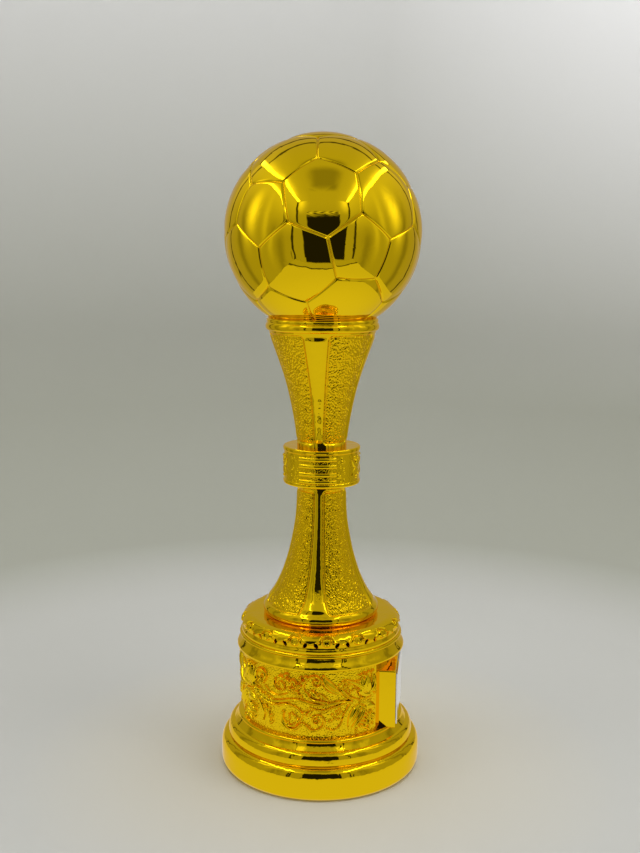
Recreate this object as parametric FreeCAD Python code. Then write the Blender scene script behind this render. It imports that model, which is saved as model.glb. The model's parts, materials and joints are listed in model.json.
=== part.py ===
"""Pillar trophy with a football on top: every separate piece as its own solid.

Millimetres, Z up, origin at the centre of the underside of the foot.  The name
tablet faces +X.  Everything is stacked on one M8 tie rod: foot, drum, crown,
lower stem, collar, upper stem, seat ring and ball.
"""
import FreeCAD
import Part

import math
import os

# ---------------------------------------------------------------- dimensions
BALL_R = 50.0
BALL_Z = 280.0
BALL_WALL = 1.2
BALL_LAP = 4.0
BALL_HOLE_R = 9.0

SEAT_BOTTOM = 230.5
SEAT_R = 29.2
SEAT_BORE_R = 14.0

STEM_WALL = 2.4
RIB_COUNT = 4
PANEL_DEPTH = 0.55
PANEL_EDGE = 0.9

COLLAR_BOTTOM = 151.4
COLLAR_TOP = 171.0
COLLAR_R = 20.1
SLEEVE_R = 10.4

CROWN_BOTTOM = 72.2
CROWN_TOP = 81.8
CROWN_R = 42.0
BOSS_COUNT = 16
BOSS_R = 2.5

BEAD_BOTTOM = 63.8
DRUM_R = 38.5
DRUM_BORE_R = 36.0
BAND_BOTTOM = 28.0
BAND_GROUND_R = 41.3
BAND_RIM_R = 42.6
BAND_GAP_DEG = 39.5

TABLET_FACE_X = 41.7
TABLET_HALF_W = 22.1
TABLET_BOTTOM = 28.0
TABLET_TOP = 58.1

STEP_SPLIT = 23.1
FOOT_TOP = 15.9
FOOT_R = 53.1

ROD_R = 4.0
ROD_CLEAR_R = 4.35
ROD_BOTTOM = 3.8
ROD_LENGTH = 241.0
NUT_BOTTOM = 4.0
NUT_TOP = 8.0
WEB_BOTTOM = 11.5
COVER_BOTTOM = 1.5
COVER_TOP = 3.5
COVER_R = 48.0
FELT_R = 49.0
SCREW_RADIUS = 40.0
SCREW_COUNT = 3

Z_AXIS = FreeCAD.Vector(0, 0, 1)
ORIGIN = FreeCAD.Vector(0, 0, 0)


# ------------------------------------------------------------------- helpers
def point(radius, height):
    """A point of a lathe profile in the XZ plane."""
    return FreeCAD.Vector(radius, 0, height)


def line(points):
    """Straight edges through the profile points."""
    vectors = [point(r, z) for r, z in points]
    return [Part.makeLine(a, b) for a, b in zip(vectors[:-1], vectors[1:])]


def curve(points):
    """One smooth edge through the profile points."""
    spline = Part.BSplineCurve()
    spline.interpolate([point(r, z) for r, z in points])
    return [spline.toShape()]


def lathe(edges, angle=360.0, start=0.0):
    """Turn a closed profile about Z, beginning at the given azimuth."""
    wire = Part.Wire(Part.__sortEdges__(edges))
    solid = Part.Face(wire).revolve(ORIGIN, Z_AXIS, angle)
    solid.rotate(ORIGIN, Z_AXIS, start)
    return solid


def ring(outer, inner, bottom, top):
    """A plain washer or tube."""
    solid = Part.makeCylinder(outer, top - bottom, FreeCAD.Vector(0, 0, bottom))
    if inner > 0:
        bore = Part.makeCylinder(inner, top - bottom, FreeCAD.Vector(0, 0, bottom))
        solid = solid.cut(bore)
    return solid


def around(shape, count, first=0.0):
    """Copies of a shape spaced evenly round Z."""
    copies = []
    for index in range(count):
        copy = shape.copy()
        copy.rotate(ORIGIN, Z_AXIS, first + 360.0 * index / count)
        copies.append(copy)
    return copies


def hexagon(across_flats, bottom, top):
    """A hexagonal prism on Z."""
    radius = across_flats / math.sqrt(3.0)
    corners = []
    for index in range(7):
        turn = math.radians(60.0 * index)
        corners.append(FreeCAD.Vector(radius * math.cos(turn), radius * math.sin(turn), bottom))
    face = Part.Face(Part.makePolygon(corners))
    return face.extrude(FreeCAD.Vector(0, 0, top - bottom))


def save(name, shape):
    """Write one named solid."""
    solid = shape.removeSplitter()
    if len(solid.Solids) == 1:
        solid = solid.Solids[0]
    print(name, len(solid.Solids), "solid", round(solid.Volume, 1), "mm3", solid.isValid())
    solid.exportStep("parts/" + name + ".step")


# ---------------------------------------------------------------------- ball
def sphere(radius):
    """A sphere on the ball centre."""
    return Part.makeSphere(radius, FreeCAD.Vector(0, 0, BALL_Z))


def ball_shells():
    """Two spun half shells with a lap joint at the equator."""
    inner = BALL_R - BALL_WALL
    shell = sphere(BALL_R).cut(sphere(inner))
    above = Part.makeBox(120, 120, 60, FreeCAD.Vector(-60, -60, BALL_Z))
    below = Part.makeBox(120, 120, 60, FreeCAD.Vector(-60, -60, BALL_Z - 60))
    lap = ring(inner + BALL_WALL / 2.0, inner - 1.4, BALL_Z, BALL_Z + BALL_LAP)
    lap = lap.cut(sphere(inner - 1.4))
    root = ring(inner, inner - 1.4, BALL_Z - 3.0, BALL_Z)
    lower = shell.common(below).fuse(lap).fuse(root.common(sphere(inner + 0.2)))
    upper = shell.common(above).cut(ring(inner + BALL_WALL / 2.0, 0, BALL_Z, BALL_Z + BALL_LAP))
    hole = Part.makeCylinder(BALL_HOLE_R, 12, FreeCAD.Vector(0, 0, 226))
    return upper, lower.cut(hole)


def ball_thread_insert():
    """Flanged M8 boss bonded into the bottom of the ball."""
    flange = ring(14.0, 0, 228.0, 240.0).common(sphere(BALL_R - BALL_WALL))
    neck = Part.makeCylinder(BALL_HOLE_R, 17, FreeCAD.Vector(0, 0, 231.0))
    bore = Part.makeCylinder(ROD_R, 17.5, FreeCAD.Vector(0, 0, 230.0))
    return flange.fuse(neck).cut(bore)


def ball_gasket():
    """Square-section rubber ring that keeps the plating of ball and seat apart."""
    return ring(21.5, 19.0, 232.6, 238.0).cut(sphere(BALL_R))


def ball_seat_ring():
    """Half-round ring with a spherical dish for the ball."""
    outside = curve([(27.9, SEAT_BOTTOM), (28.8, 231.6), (SEAT_R, 233.8), (28.7, 235.9), (27.3, 237.3)])
    rest = line([(27.3, 237.3), (26.4, 239.2), (SEAT_BORE_R, 239.2), (SEAT_BORE_R, SEAT_BOTTOM),
                 (27.9, SEAT_BOTTOM)])
    solid = lathe(outside + rest).cut(sphere(BALL_R))
    return solid.cut(ring(21.5, 19.0, 232.6, 238.0))


# --------------------------------------------------------------------- stems
UPPER_STEM = [(13.2, 171.0), (13.2, 174.0), (13.8, 178.5), (15.0, 185.5), (17.1, 195.5),
              (19.6, 205.0), (22.3, 213.5), (25.0, 221.6), (27.0, 228.0), (27.6, SEAT_BOTTOM)]
LOWER_STEM = [(29.4, 87.0), (27.6, 89.6), (25.2, 93.0), (22.7, 98.0), (20.6, 103.0),
              (18.9, 108.0), (17.4, 113.0), (16.2, 118.0), (15.2, 123.0), (14.3, 128.0),
              (13.6, 133.0), (13.1, 138.0), (12.8, 143.0), (12.7, COLLAR_BOTTOM)]


def inset(profile, depth):
    """The same profile at a smaller radius."""
    return [(r - depth, z) for r, z in profile]


def inside(profile, bottom, top):
    """The part of a profile between two heights."""
    return [(r, z) for r, z in profile if bottom <= z <= top]


def panel_cut(profile, bottom, top, sweep):
    """Tool that sinks one long panel into the stem surface."""
    part = inside(profile, bottom, top)
    floor = inset(part, PANEL_DEPTH)
    outer = [(r + 6.0, z) for r, z in part]
    edges = curve(floor)
    edges += line([floor[-1], outer[-1]])
    edges += curve(outer)
    edges += line([outer[0], floor[0]])
    return lathe(edges, sweep, 45.0 - sweep / 2.0)


def upper_stem():
    """Trumpet casting with four flat ribs between four sunk panels."""
    bore = [(max(r - STEM_WALL, SLEEVE_R), z) for r, z in UPPER_STEM]
    bore[-2] = (24.4, 226.0)
    outer = curve(UPPER_STEM)
    inner = curve(bore[:-1])
    ends = line([UPPER_STEM[0], bore[0]])
    ends += line([bore[-2], (25.2, 226.0), (25.2, SEAT_BOTTOM), UPPER_STEM[-1]])
    solid = lathe(outer + inner + ends)
    cut = panel_cut(UPPER_STEM, 173.0, 229.0, 67.0)
    for tool in around(cut, RIB_COUNT):
        solid = solid.cut(tool)
    return solid


def lower_stem():
    """Trumpet casting, wide end down, with a plain rounded lip."""
    lip = curve([(29.4, 87.0), (30.2, 85.6), (30.4, 84.0), (29.8, 82.6), (29.0, CROWN_TOP)])
    bore = [(max(r - STEM_WALL, SLEEVE_R), z) for r, z in LOWER_STEM]
    outer = curve(LOWER_STEM)
    inner = curve(bore)
    ends = line([LOWER_STEM[-1], bore[-1]])
    ends += line([bore[0], (27.0, CROWN_TOP), (29.0, CROWN_TOP)])
    solid = lathe(outer + lip + inner + ends)
    cut = panel_cut(LOWER_STEM, 87.0, 143.0, 66.0)
    for tool in around(cut, RIB_COUNT):
        solid = solid.cut(tool)
    return solid


def stem_top_plate():
    """Steel disc that closes the upper stem and carries the seat ring."""
    return ring(25.2, ROD_CLEAR_R, 226.0, SEAT_BOTTOM)


def collar_ring():
    """Round collar between the stems with raised bars on two sides."""
    top = COLLAR_TOP
    low = COLLAR_BOTTOM
    outer = [(SLEEVE_R, low), (19.3, low), (20.1, low + 0.7), (20.1, low + 1.9), (19.6, low + 2.3),
             (19.6, top - 2.6), (20.1, top - 2.2), (20.1, top - 0.7), (19.4, top), (SLEEVE_R, top),
             (SLEEVE_R, low)]
    solid = lathe(line(outer))
    for height in (154.6, 158.2, 162.4, 166.2):
        bar = line([(19.0, height - 0.8), (19.6, height - 0.8), (20.1, height), (19.6, height + 0.8),
                    (19.0, height + 0.8), (19.0, height - 0.8)])
        for start in (-118.0, 62.0):
            solid = solid.fuse(lathe(bar, 56.0, start))
    return solid


def collar_sleeve():
    """Turned bush that centres both stems in the collar."""
    return ring(SLEEVE_R, ROD_CLEAR_R, 145.0, 177.0)


# ---------------------------------------------------------------------- base
def base_crown():
    """Cap of the base with round bosses on its sloping edge."""
    outside = line([(CROWN_R, CROWN_BOTTOM), (CROWN_R, 77.6)])
    outside += curve([(CROWN_R, 77.6), (41.3, 79.2), (39.8, 80.9), (38.0, CROWN_TOP)])
    inner = line([(38.0, CROWN_TOP), (27.0, CROWN_TOP), (27.0, 84.4), (23.6, 84.4), (23.6, 79.0),
                  (ROD_CLEAR_R, 79.0), (ROD_CLEAR_R, 76.0), (34.0, 76.0), (34.0, CROWN_BOTTOM),
                  (CROWN_R, CROWN_BOTTOM)])
    solid = lathe(outside + inner)
    boss = Part.makeCylinder(BOSS_R, 3.4, FreeCAD.Vector(38.8, 0, 77.6), FreeCAD.Vector(1, 0, 1))
    dimple = Part.makeCylinder(BOSS_R - 0.8, 1.0, FreeCAD.Vector(40.8, 0, 79.6), FreeCAD.Vector(1, 0, 1))
    boss = boss.cut(dimple)
    for copy in around(boss, BOSS_COUNT, 180.0 / BOSS_COUNT):
        solid = solid.fuse(copy)
    return solid


def ring_moulding():
    """Thin bead over a fat half-round bead, between crown and band."""
    outside = curve([(42.0, CROWN_BOTTOM), (42.8, 71.6), (43.0, 70.8), (42.6, 70.0)])
    outside += curve([(42.6, 70.0), (43.6, 68.9), (44.1, 67.0), (43.9, 65.2), (43.0, BEAD_BOTTOM)])
    rest = line([(43.0, BEAD_BOTTOM), (DRUM_BORE_R, BEAD_BOTTOM), (DRUM_BORE_R, CROWN_BOTTOM),
                 (42.0, CROWN_BOTTOM)])
    return lathe(outside + rest)


def base_drum():
    """Inner tube that carries the band, the tablet and the mouldings."""
    return ring(DRUM_R, DRUM_BORE_R, FOOT_TOP, BEAD_BOTTOM)


def scroll_band():
    """Decorated sleeve, open on the tablet side."""
    low = BAND_BOTTOM
    top = BEAD_BOTTOM
    profile = line([(DRUM_R, low), (BAND_RIM_R, low), (BAND_RIM_R, low + 1.2), (BAND_GROUND_R, low + 1.8),
                    (BAND_GROUND_R, top - 1.8), (BAND_RIM_R, top - 1.2), (BAND_RIM_R, top),
                    (DRUM_R, top), (DRUM_R, low)])
    solid = lathe(profile, 360.0 - 2.0 * BAND_GAP_DEG, BAND_GAP_DEG)
    swell = line([(40.0, low + 6.0), (BAND_GROUND_R, low + 6.0), (43.0, low + 9.0), (43.0, top - 9.0),
                  (BAND_GROUND_R, top - 6.0), (40.0, top - 6.0), (40.0, low + 6.0)])
    for start in (57.0, 123.0, 189.0, 255.0):
        solid = solid.fuse(lathe(swell, 48.0, start))
    return solid


def name_tablet():
    """Flat block for the name plate, fitted round the drum."""
    block = Part.makeBox(TABLET_FACE_X - 25.0, 2.0 * TABLET_HALF_W, TABLET_TOP - TABLET_BOTTOM,
                         FreeCAD.Vector(25.0, -TABLET_HALF_W, TABLET_BOTTOM))
    return block.cut(Part.makeCylinder(DRUM_R, 60, FreeCAD.Vector(0, 0, 20)))


def plate(thickness, face, margin):
    """A thin sheet parallel to the tablet face."""
    width = 2.0 * (TABLET_HALF_W - margin)
    height = TABLET_TOP - TABLET_BOTTOM - 2.0 * margin
    corner = FreeCAD.Vector(face, -width / 2.0, TABLET_BOTTOM + margin)
    return Part.makeBox(thickness, width, height, corner)


def upper_step_moulding():
    """Small sloping ring under the band."""
    outside = line([(42.6, BAND_BOTTOM), (42.6, 27.6)])
    outside += curve([(42.6, 27.6), (43.9, 26.8), (45.0, 25.4), (45.5, 24.2), (45.1, STEP_SPLIT)])
    rest = line([(45.1, STEP_SPLIT), (DRUM_R, STEP_SPLIT), (DRUM_R, BAND_BOTTOM), (42.6, BAND_BOTTOM)])
    return lathe(outside + rest)


def lower_step_moulding():
    """Wider ring between the small ring and the foot."""
    outside = curve([(45.1, STEP_SPLIT), (46.6, 22.2), (48.3, 20.6), (49.4, 18.6), (49.5, 17.0),
                     (48.7, FOOT_TOP)])
    rest = line([(48.7, FOOT_TOP), (DRUM_R, FOOT_TOP), (DRUM_R, STEP_SPLIT), (45.1, STEP_SPLIT)])
    return lathe(outside + rest)


def foot():
    """Heavy ring foot with a web that takes the tie-rod nut."""
    outside = curve([(48.7, FOOT_TOP), (50.3, 15.2), (51.5, 13.0), (52.4, 10.0), (52.95, 7.0), (FOOT_R, 4.5),
                     (52.7, 1.6), (51.4, 0.0)])
    inner = line([(51.4, 0.0), (49.4, 0.0), (49.4, COVER_BOTTOM), (48.2, COVER_BOTTOM), (48.2, COVER_TOP),
                  (46.0, COVER_TOP), (46.0, WEB_BOTTOM), (ROD_CLEAR_R, WEB_BOTTOM), (ROD_CLEAR_R, FOOT_TOP),
                  (48.7, FOOT_TOP)])
    solid = lathe(outside + inner)
    pillar = Part.makeCylinder(4.0, 8.5, FreeCAD.Vector(SCREW_RADIUS, 0, COVER_TOP))
    pilot = Part.makeCylinder(1.5, 7.0, FreeCAD.Vector(SCREW_RADIUS, 0, COVER_TOP))
    for copy in around(pillar, SCREW_COUNT, 30.0):
        solid = solid.fuse(copy)
    for copy in around(pilot, SCREW_COUNT, 30.0):
        solid = solid.cut(copy)
    return solid


# ------------------------------------------------------------ hidden hardware
def tie_rod():
    """M8 studding with chamfered ends."""
    rod = Part.makeCylinder(ROD_R, ROD_LENGTH, FreeCAD.Vector(0, 0, ROD_BOTTOM))
    ends = [edge for edge in rod.Edges if isinstance(edge.Curve, Part.Circle)]
    return rod.makeChamfer(0.8, ends)


def lock_washer():
    """Split spring washer."""
    solid = ring(7.2, ROD_CLEAR_R, NUT_TOP, 9.9)
    return solid.cut(Part.makeBox(6, 0.8, 3, FreeCAD.Vector(3, -0.4, 7.5)))


def clamp_nut():
    """Thin M8 hexagon nut, 13 mm across flats."""
    nut = hexagon(13.0, NUT_BOTTOM, NUT_TOP)
    cone = Part.makeCone(6.4, 10.4, NUT_TOP - NUT_BOTTOM, FreeCAD.Vector(0, 0, NUT_BOTTOM))
    return nut.common(cone).cut(Part.makeCylinder(ROD_R, 12, FreeCAD.Vector(0, 0, 1)))


def ballast_weight():
    """Steel slug that keeps the trophy from tipping."""
    return ring(33.6, 7.0, FOOT_TOP, 41.0)


def base_cover():
    """Fibreboard disc that closes the underside."""
    disc = ring(COVER_R, 0, COVER_BOTTOM, COVER_TOP)
    hole = Part.makeCone(3.0, 1.6, 2.0, FreeCAD.Vector(SCREW_RADIUS, 0, COVER_BOTTOM))
    for copy in around(hole, SCREW_COUNT, 30.0):
        disc = disc.cut(copy)
    return disc


def cover_screws():
    """Three countersunk screws into the foot pillars."""
    head = Part.makeCone(3.0, 1.6, 2.0, FreeCAD.Vector(SCREW_RADIUS, 0, COVER_BOTTOM))
    shank = Part.makeCylinder(1.5, 7.4, FreeCAD.Vector(SCREW_RADIUS, 0, COVER_BOTTOM + 0.6))
    slot = Part.makeBox(4.4, 0.7, 0.7, FreeCAD.Vector(SCREW_RADIUS - 2.2, -0.35, COVER_BOTTOM))
    return around(head.fuse(shank).cut(slot), SCREW_COUNT, 30.0)


def felt_pad():
    """Self-adhesive felt disc, flush with the rim of the foot."""
    return ring(FELT_R, 0, 0.0, COVER_BOTTOM)


def main():
    """Build and write every piece."""
    os.makedirs("parts", exist_ok=True)
    upper_shell, lower_shell = ball_shells()
    save("ball_upper_shell", upper_shell)
    save("ball_lower_shell", lower_shell)
    save("ball_thread_insert", ball_thread_insert())
    save("ball_gasket", ball_gasket())
    save("ball_seat_ring", ball_seat_ring())
    save("stem_top_plate", stem_top_plate())
    save("upper_stem", upper_stem())
    save("collar_ring", collar_ring())
    save("collar_sleeve", collar_sleeve())
    save("lower_stem", lower_stem())
    save("base_crown", base_crown())
    save("ring_moulding", ring_moulding())
    save("base_drum", base_drum())
    save("scroll_band", scroll_band())
    save("name_tablet", name_tablet())
    save("plate_adhesive", plate(0.2, TABLET_FACE_X, 2.6))
    save("name_plate", plate(0.6, TABLET_FACE_X + 0.2, 1.6))
    save("upper_step_moulding", upper_step_moulding())
    save("lower_step_moulding", lower_step_moulding())
    save("foot", foot())
    save("ballast_weight", ballast_weight())
    save("tie_rod", tie_rod())
    save("clamp_washer", ring(12.0, ROD_CLEAR_R, 9.9, WEB_BOTTOM))
    save("lock_washer", lock_washer())
    save("clamp_nut", clamp_nut())
    save("base_cover", base_cover())
    for name, screw in zip(("a", "b", "c"), cover_screws()):
        save("cover_screw_" + name, screw)
    save("felt_pad", felt_pad())


main()
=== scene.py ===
"""Gold football pillar trophy: the visual model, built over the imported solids.

Sizes in this file are millimetres until a mesh is made; Blender objects are in
metres in the frame of the solids: Z up, the tablet facing +X.
"""

import json
import logging
import math
from dataclasses import dataclass, field
from enum import Enum
from typing import Callable, Iterable, Sequence

import bmesh
import bpy
import numpy as np
from mathutils import Euler, Matrix, Vector

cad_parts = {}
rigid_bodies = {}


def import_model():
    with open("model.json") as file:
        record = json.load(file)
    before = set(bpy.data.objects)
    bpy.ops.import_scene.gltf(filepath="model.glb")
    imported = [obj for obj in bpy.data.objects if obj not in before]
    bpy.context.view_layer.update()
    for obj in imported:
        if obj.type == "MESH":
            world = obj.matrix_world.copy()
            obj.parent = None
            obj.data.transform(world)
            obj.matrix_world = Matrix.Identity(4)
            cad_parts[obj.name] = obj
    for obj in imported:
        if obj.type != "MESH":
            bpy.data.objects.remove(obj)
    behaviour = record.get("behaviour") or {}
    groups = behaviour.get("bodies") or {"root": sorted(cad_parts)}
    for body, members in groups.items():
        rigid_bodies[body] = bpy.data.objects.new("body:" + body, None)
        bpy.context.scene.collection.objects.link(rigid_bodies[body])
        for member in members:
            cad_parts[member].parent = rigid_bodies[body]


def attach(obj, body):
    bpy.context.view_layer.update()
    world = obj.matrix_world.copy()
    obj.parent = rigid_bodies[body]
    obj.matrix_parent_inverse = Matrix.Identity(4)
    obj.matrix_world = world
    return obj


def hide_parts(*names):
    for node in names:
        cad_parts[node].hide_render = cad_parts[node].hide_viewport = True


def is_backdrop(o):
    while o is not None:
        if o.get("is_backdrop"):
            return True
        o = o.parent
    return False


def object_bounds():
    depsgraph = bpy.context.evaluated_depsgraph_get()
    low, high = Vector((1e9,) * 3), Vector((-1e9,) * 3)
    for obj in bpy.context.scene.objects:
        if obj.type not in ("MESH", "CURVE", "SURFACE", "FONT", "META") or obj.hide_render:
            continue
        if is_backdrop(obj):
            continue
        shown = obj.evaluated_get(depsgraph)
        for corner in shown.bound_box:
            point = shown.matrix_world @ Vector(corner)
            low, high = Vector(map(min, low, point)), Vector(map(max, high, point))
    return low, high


LOG = logging.getLogger("trophy")
MM = 0.001
BODY = "root"
SHOT_AZIMUTH = 7.0

Array = np.ndarray
Node = bpy.types.Node
Tree = bpy.types.NodeTree


class Slot(Enum):
    """Material slots of the record."""

    GOLD = "gold_plate"
    SHELL = "plated_shell"
    BRASS = "brass_insert"
    SILVER = "silver_plate"
    TAPE = "adhesive"
    ZINC = "zinc_steel"
    IRON = "cast_weight"
    RUBBER = "rubber"
    BOARD = "fibreboard"
    FELT = "felt"


# --------------------------------------------------------------------- curves
def natural_spline(points: Sequence[tuple[float, float]], step: float) -> Array:
    """Smooth curve through points, evenly stepped.

    Args:
        points: (radius, height) or (u, v) pairs, in order.
        step: wanted spacing of the samples.

    Returns:
        An (n, 2) array that starts and ends on the first and last point.
    """
    knots = np.asarray(points, float)
    gaps = np.hypot(*np.diff(knots, axis=0).T)
    place = np.concatenate([[0.0], np.cumsum(gaps)])
    count = len(knots)
    matrix = np.eye(count)
    right = np.zeros((count, 2))
    for row in range(1, count - 1):
        before, after = gaps[row - 1], gaps[row]
        matrix[row, row - 1:row + 2] = before, 2.0 * (before + after), after
        rise = (knots[row + 1] - knots[row]) / after - (knots[row] - knots[row - 1]) / before
        right[row] = 6.0 * rise
    bend = np.linalg.solve(matrix, right)
    along = np.linspace(0.0, place[-1], max(3, int(round(place[-1] / step)) + 1))
    cell = np.clip(np.searchsorted(place, along, side="right") - 1, 0, count - 2)
    width = gaps[cell][:, None]
    near = (along - place[cell])[:, None]
    far = width - near
    cubic = (bend[cell] * far ** 3 + bend[cell + 1] * near ** 3) / (6.0 * width)
    low = (knots[cell] / width - bend[cell] * width / 6.0) * far
    high = (knots[cell + 1] / width - bend[cell + 1] * width / 6.0) * near
    return cubic + low + high


def straight(points: Sequence[tuple[float, float]], step: float) -> Array:
    """Straight runs through points, stepped at most step apart."""
    runs = []
    knots = np.asarray(points, float)
    for start, end in zip(knots[:-1], knots[1:]):
        count = max(1, int(math.ceil(np.hypot(*(end - start)) / step)))
        runs.append(start + (end - start) * np.linspace(0, 1, count, endpoint=False)[:, None])
    runs.append(knots[-1:])
    return np.vstack(runs)


def join(*runs: Array) -> Array:
    """One profile from runs that share their end points."""
    return np.vstack([runs[0]] + [run[1:] for run in runs[1:]])


def smooth(edge0: float, edge1: float, value: Array) -> Array:
    """Smooth ramp from 0 at edge0 to 1 at edge1."""
    ramp = np.clip((value - edge0) / (edge1 - edge0), 0.0, 1.0)
    return ramp * ramp * (3.0 - 2.0 * ramp)


def dome(distance: Array, radius: float) -> Array:
    """Half-round section, 1 on the centre line and 0 at the radius."""
    return np.sqrt(np.clip(1.0 - (distance / radius) ** 2, 0.0, 1.0))


def mound(distance: Array, radius: float) -> Array:
    """Soft section with even slopes, 1 on the centre line and 0 at the radius."""
    return np.clip(1.0 - (distance / radius) ** 2, 0.0, 1.0)


def pebbles(u: Array, v: Array, cell: float, seed: int) -> tuple[Array, Array]:
    """Irregular cells for hammered and stippled metal.

    Args:
        u: first coordinate in millimetres.
        v: second coordinate in millimetres.
        cell: mean size of a pebble.
        seed: which pattern.

    Returns:
        Distance to the nearest pebble centre, in cells, and a random number per pebble.
    """
    size = 61
    table = np.random.RandomState(seed).rand(size, size, 3)
    a, b = u / cell, v / cell
    ia, ib = np.floor(a).astype(int), np.floor(b).astype(int)
    best = np.full(a.shape, 9.0)
    pick = np.zeros(a.shape)
    for da in (-1, 0, 1):
        for db in (-1, 0, 1):
            ja, jb = ia + da, ib + db
            spot = table[ja % size, jb % size]
            gap = np.hypot(a - ja - spot[..., 0], b - jb - spot[..., 1])
            nearer = gap < best
            best = np.where(nearer, gap, best)
            pick = np.where(nearer, spot[..., 2], pick)
    return best, pick


# --------------------------------------------------------------------- meshes
def mesh_object(name: str, verts: Array, quads: Array,
                extra: Iterable[Sequence[int]] = ()) -> bpy.types.Object:
    """A smooth-shaded object from arrays.

    Args:
        name: object name.
        verts: (n, 3) positions in millimetres.
        quads: (m, 4) vertex numbers.
        extra: faces with any number of corners.

    Returns:
        The new object, linked to the scene.
    """
    mesh = bpy.data.meshes.new(name)
    extra = [list(face) for face in extra]
    corners = np.concatenate([np.asarray(quads, np.int32).ravel()] + [np.array(f, np.int32) for f in extra])
    sizes = np.array([4] * len(quads) + [len(face) for face in extra], np.int32)
    starts = np.concatenate([[0], np.cumsum(sizes)[:-1]]).astype(np.int32)
    mesh.vertices.add(len(verts))
    mesh.vertices.foreach_set("co", (np.asarray(verts, float) * MM).astype(np.float32).ravel())
    mesh.loops.add(len(corners))
    mesh.loops.foreach_set("vertex_index", corners)
    mesh.polygons.add(len(sizes))
    mesh.polygons.foreach_set("loop_start", starts)
    mesh.update(calc_edges=True)
    mesh.validate()
    mesh.shade_smooth()
    made = bpy.data.objects.new(name, mesh)
    bpy.context.scene.collection.objects.link(made)
    return made


def grid_quads(rows: int, cols: int, wrap_rows: bool, wrap_cols: bool) -> Array:
    """Quads of a rows by cols grid, facing out for a profile that runs upwards."""
    i = np.arange(rows if wrap_rows else rows - 1)
    j = np.arange(cols if wrap_cols else cols - 1)
    ii, jj = np.meshgrid(i, j, indexing="ij")
    up, on = (ii + 1) % rows, (jj + 1) % cols
    faces = np.stack([ii * cols + jj, ii * cols + on, up * cols + on, up * cols + jj], -1)
    return faces.reshape(-1, 4)


def colour_layer(target: bpy.types.Object, name: str, values: Array) -> None:
    """Stores one number per vertex for a material to read."""
    layer = target.data.attributes.new(name, "FLOAT", "POINT")
    layer.data.foreach_set("value", np.asarray(values, np.float32).ravel())


Relief = Callable[[Array, Array], Array]


@dataclass
class Turned:
    """A piece turned on the Z axis, with optional relief on its outside.

    Attributes:
        name: object name.
        skin: (n, 2) radius and height of the outside, from the bottom up.
        back: profile points that close the section behind the skin, from the top down.
        steps: samples round the axis.
        start: first azimuth in degrees, for a piece that doesn't go all the way round.
        sweep: angle covered.
        relief: height over the skin, from azimuth in degrees and distance along the skin.
    """

    name: str
    skin: Array
    back: Sequence[tuple[float, float]]
    steps: int = 192
    start: float = 0.0
    sweep: float = 360.0
    relief: Relief | None = None

    def outside(self, azimuth: Array) -> tuple[Array, Array]:
        """Positions of the skin and the relief heights on it."""
        step = np.gradient(self.skin, axis=0)
        length = np.hypot(step[:, 0], step[:, 1])
        normal = np.stack([step[:, 1], -step[:, 0]], 1) / length[:, None]
        along = np.concatenate([[0.0], np.cumsum(np.hypot(*np.diff(self.skin, axis=0).T))])
        aa, ss = np.meshgrid(azimuth, along)
        high = self.relief(aa, ss) if self.relief else np.zeros_like(aa)
        radius = self.skin[:, :1] + normal[:, :1] * high
        height = self.skin[:, 1:] + normal[:, 1:] * high
        return np.stack([radius, height], -1), high

    def build(self) -> bpy.types.Object:
        """Makes the closed mesh."""
        whole = self.sweep >= 359.9
        turn = np.linspace(self.start, self.start + self.sweep, self.steps + (0 if whole else 1),
                           endpoint=not whole)
        skin, high = self.outside(turn)
        back = np.asarray(self.back, float)
        hidden = np.repeat(back[:, None, :], len(turn), 1)
        section = np.concatenate([skin, hidden], 0)
        angle = np.radians(turn)[None, :]
        verts = np.stack([section[..., 0] * np.sin(angle), -section[..., 0] * np.cos(angle), section[..., 1]],
                         -1)
        rows, cols = section.shape[:2]
        quads = grid_quads(rows, cols, True, whole)
        caps = []
        if not whole:
            caps = [[r * cols for r in range(rows)][::-1], [r * cols + cols - 1 for r in range(rows)]]
        made = mesh_object(self.name, verts.reshape(-1, 3), quads, caps)
        made.data.set_sharp_from_angle(angle=math.radians(50))
        filled = np.concatenate([high, np.zeros((len(back), cols))], 0)
        colour_layer(made, "relief", filled)
        return made


# ------------------------------------------------------------ shader plumbing
def group_tree(name: str, inputs: dict[str, tuple[str, float]], outputs: dict[str, str]) -> Tree:
    """An empty node group with named sockets.

    Args:
        name: group name.
        inputs: socket name to (kind, default).
        outputs: socket name to kind.

    Returns:
        The new tree, with its input and output nodes in place.
    """
    tree = bpy.data.node_groups.new(name, "ShaderNodeTree")
    for label, (kind, value) in inputs.items():
        socket = tree.interface.new_socket(name=label, in_out="INPUT", socket_type=kind)
        socket.default_value = value
    for label, kind in outputs.items():
        tree.interface.new_socket(name=label, in_out="OUTPUT", socket_type=kind)
    tree.nodes.new("NodeGroupInput").name = "In"
    tree.nodes.new("NodeGroupOutput").name = "Out"
    return tree


def add(tree: Tree, kind: str, settings: dict | None = None, **sockets: object) -> Node:
    """Adds a node, sets its options and fills its input sockets by name.

    Args:
        tree: the tree to add to.
        kind: node type without the ShaderNode prefix.
        settings: attributes of the node.
        sockets: values or output sockets, by input name with underscores for spaces.

    Returns:
        The node.
    """
    node = tree.nodes.new("ShaderNode" + kind)
    for key, value in (settings or {}).items():
        setattr(node, key, value)
    for key, value in sockets.items():
        label = key.replace("_", " ")
        socket = node.inputs[int(key[1:])] if key[0] == "i" and key[1:].isdigit() else node.inputs[label]
        if isinstance(value, bpy.types.NodeSocket):
            tree.links.new(value, socket)
        else:
            socket.default_value = value
    return node


def maths(tree: Tree, operation: str, first: object, second: object = 0.0,
          clamp: bool = False) -> bpy.types.NodeSocket:
    """Result socket of a Math node."""
    return add(tree, "Math", {"operation": operation, "use_clamp": clamp}, i0=first, i1=second).outputs[0]


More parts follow.
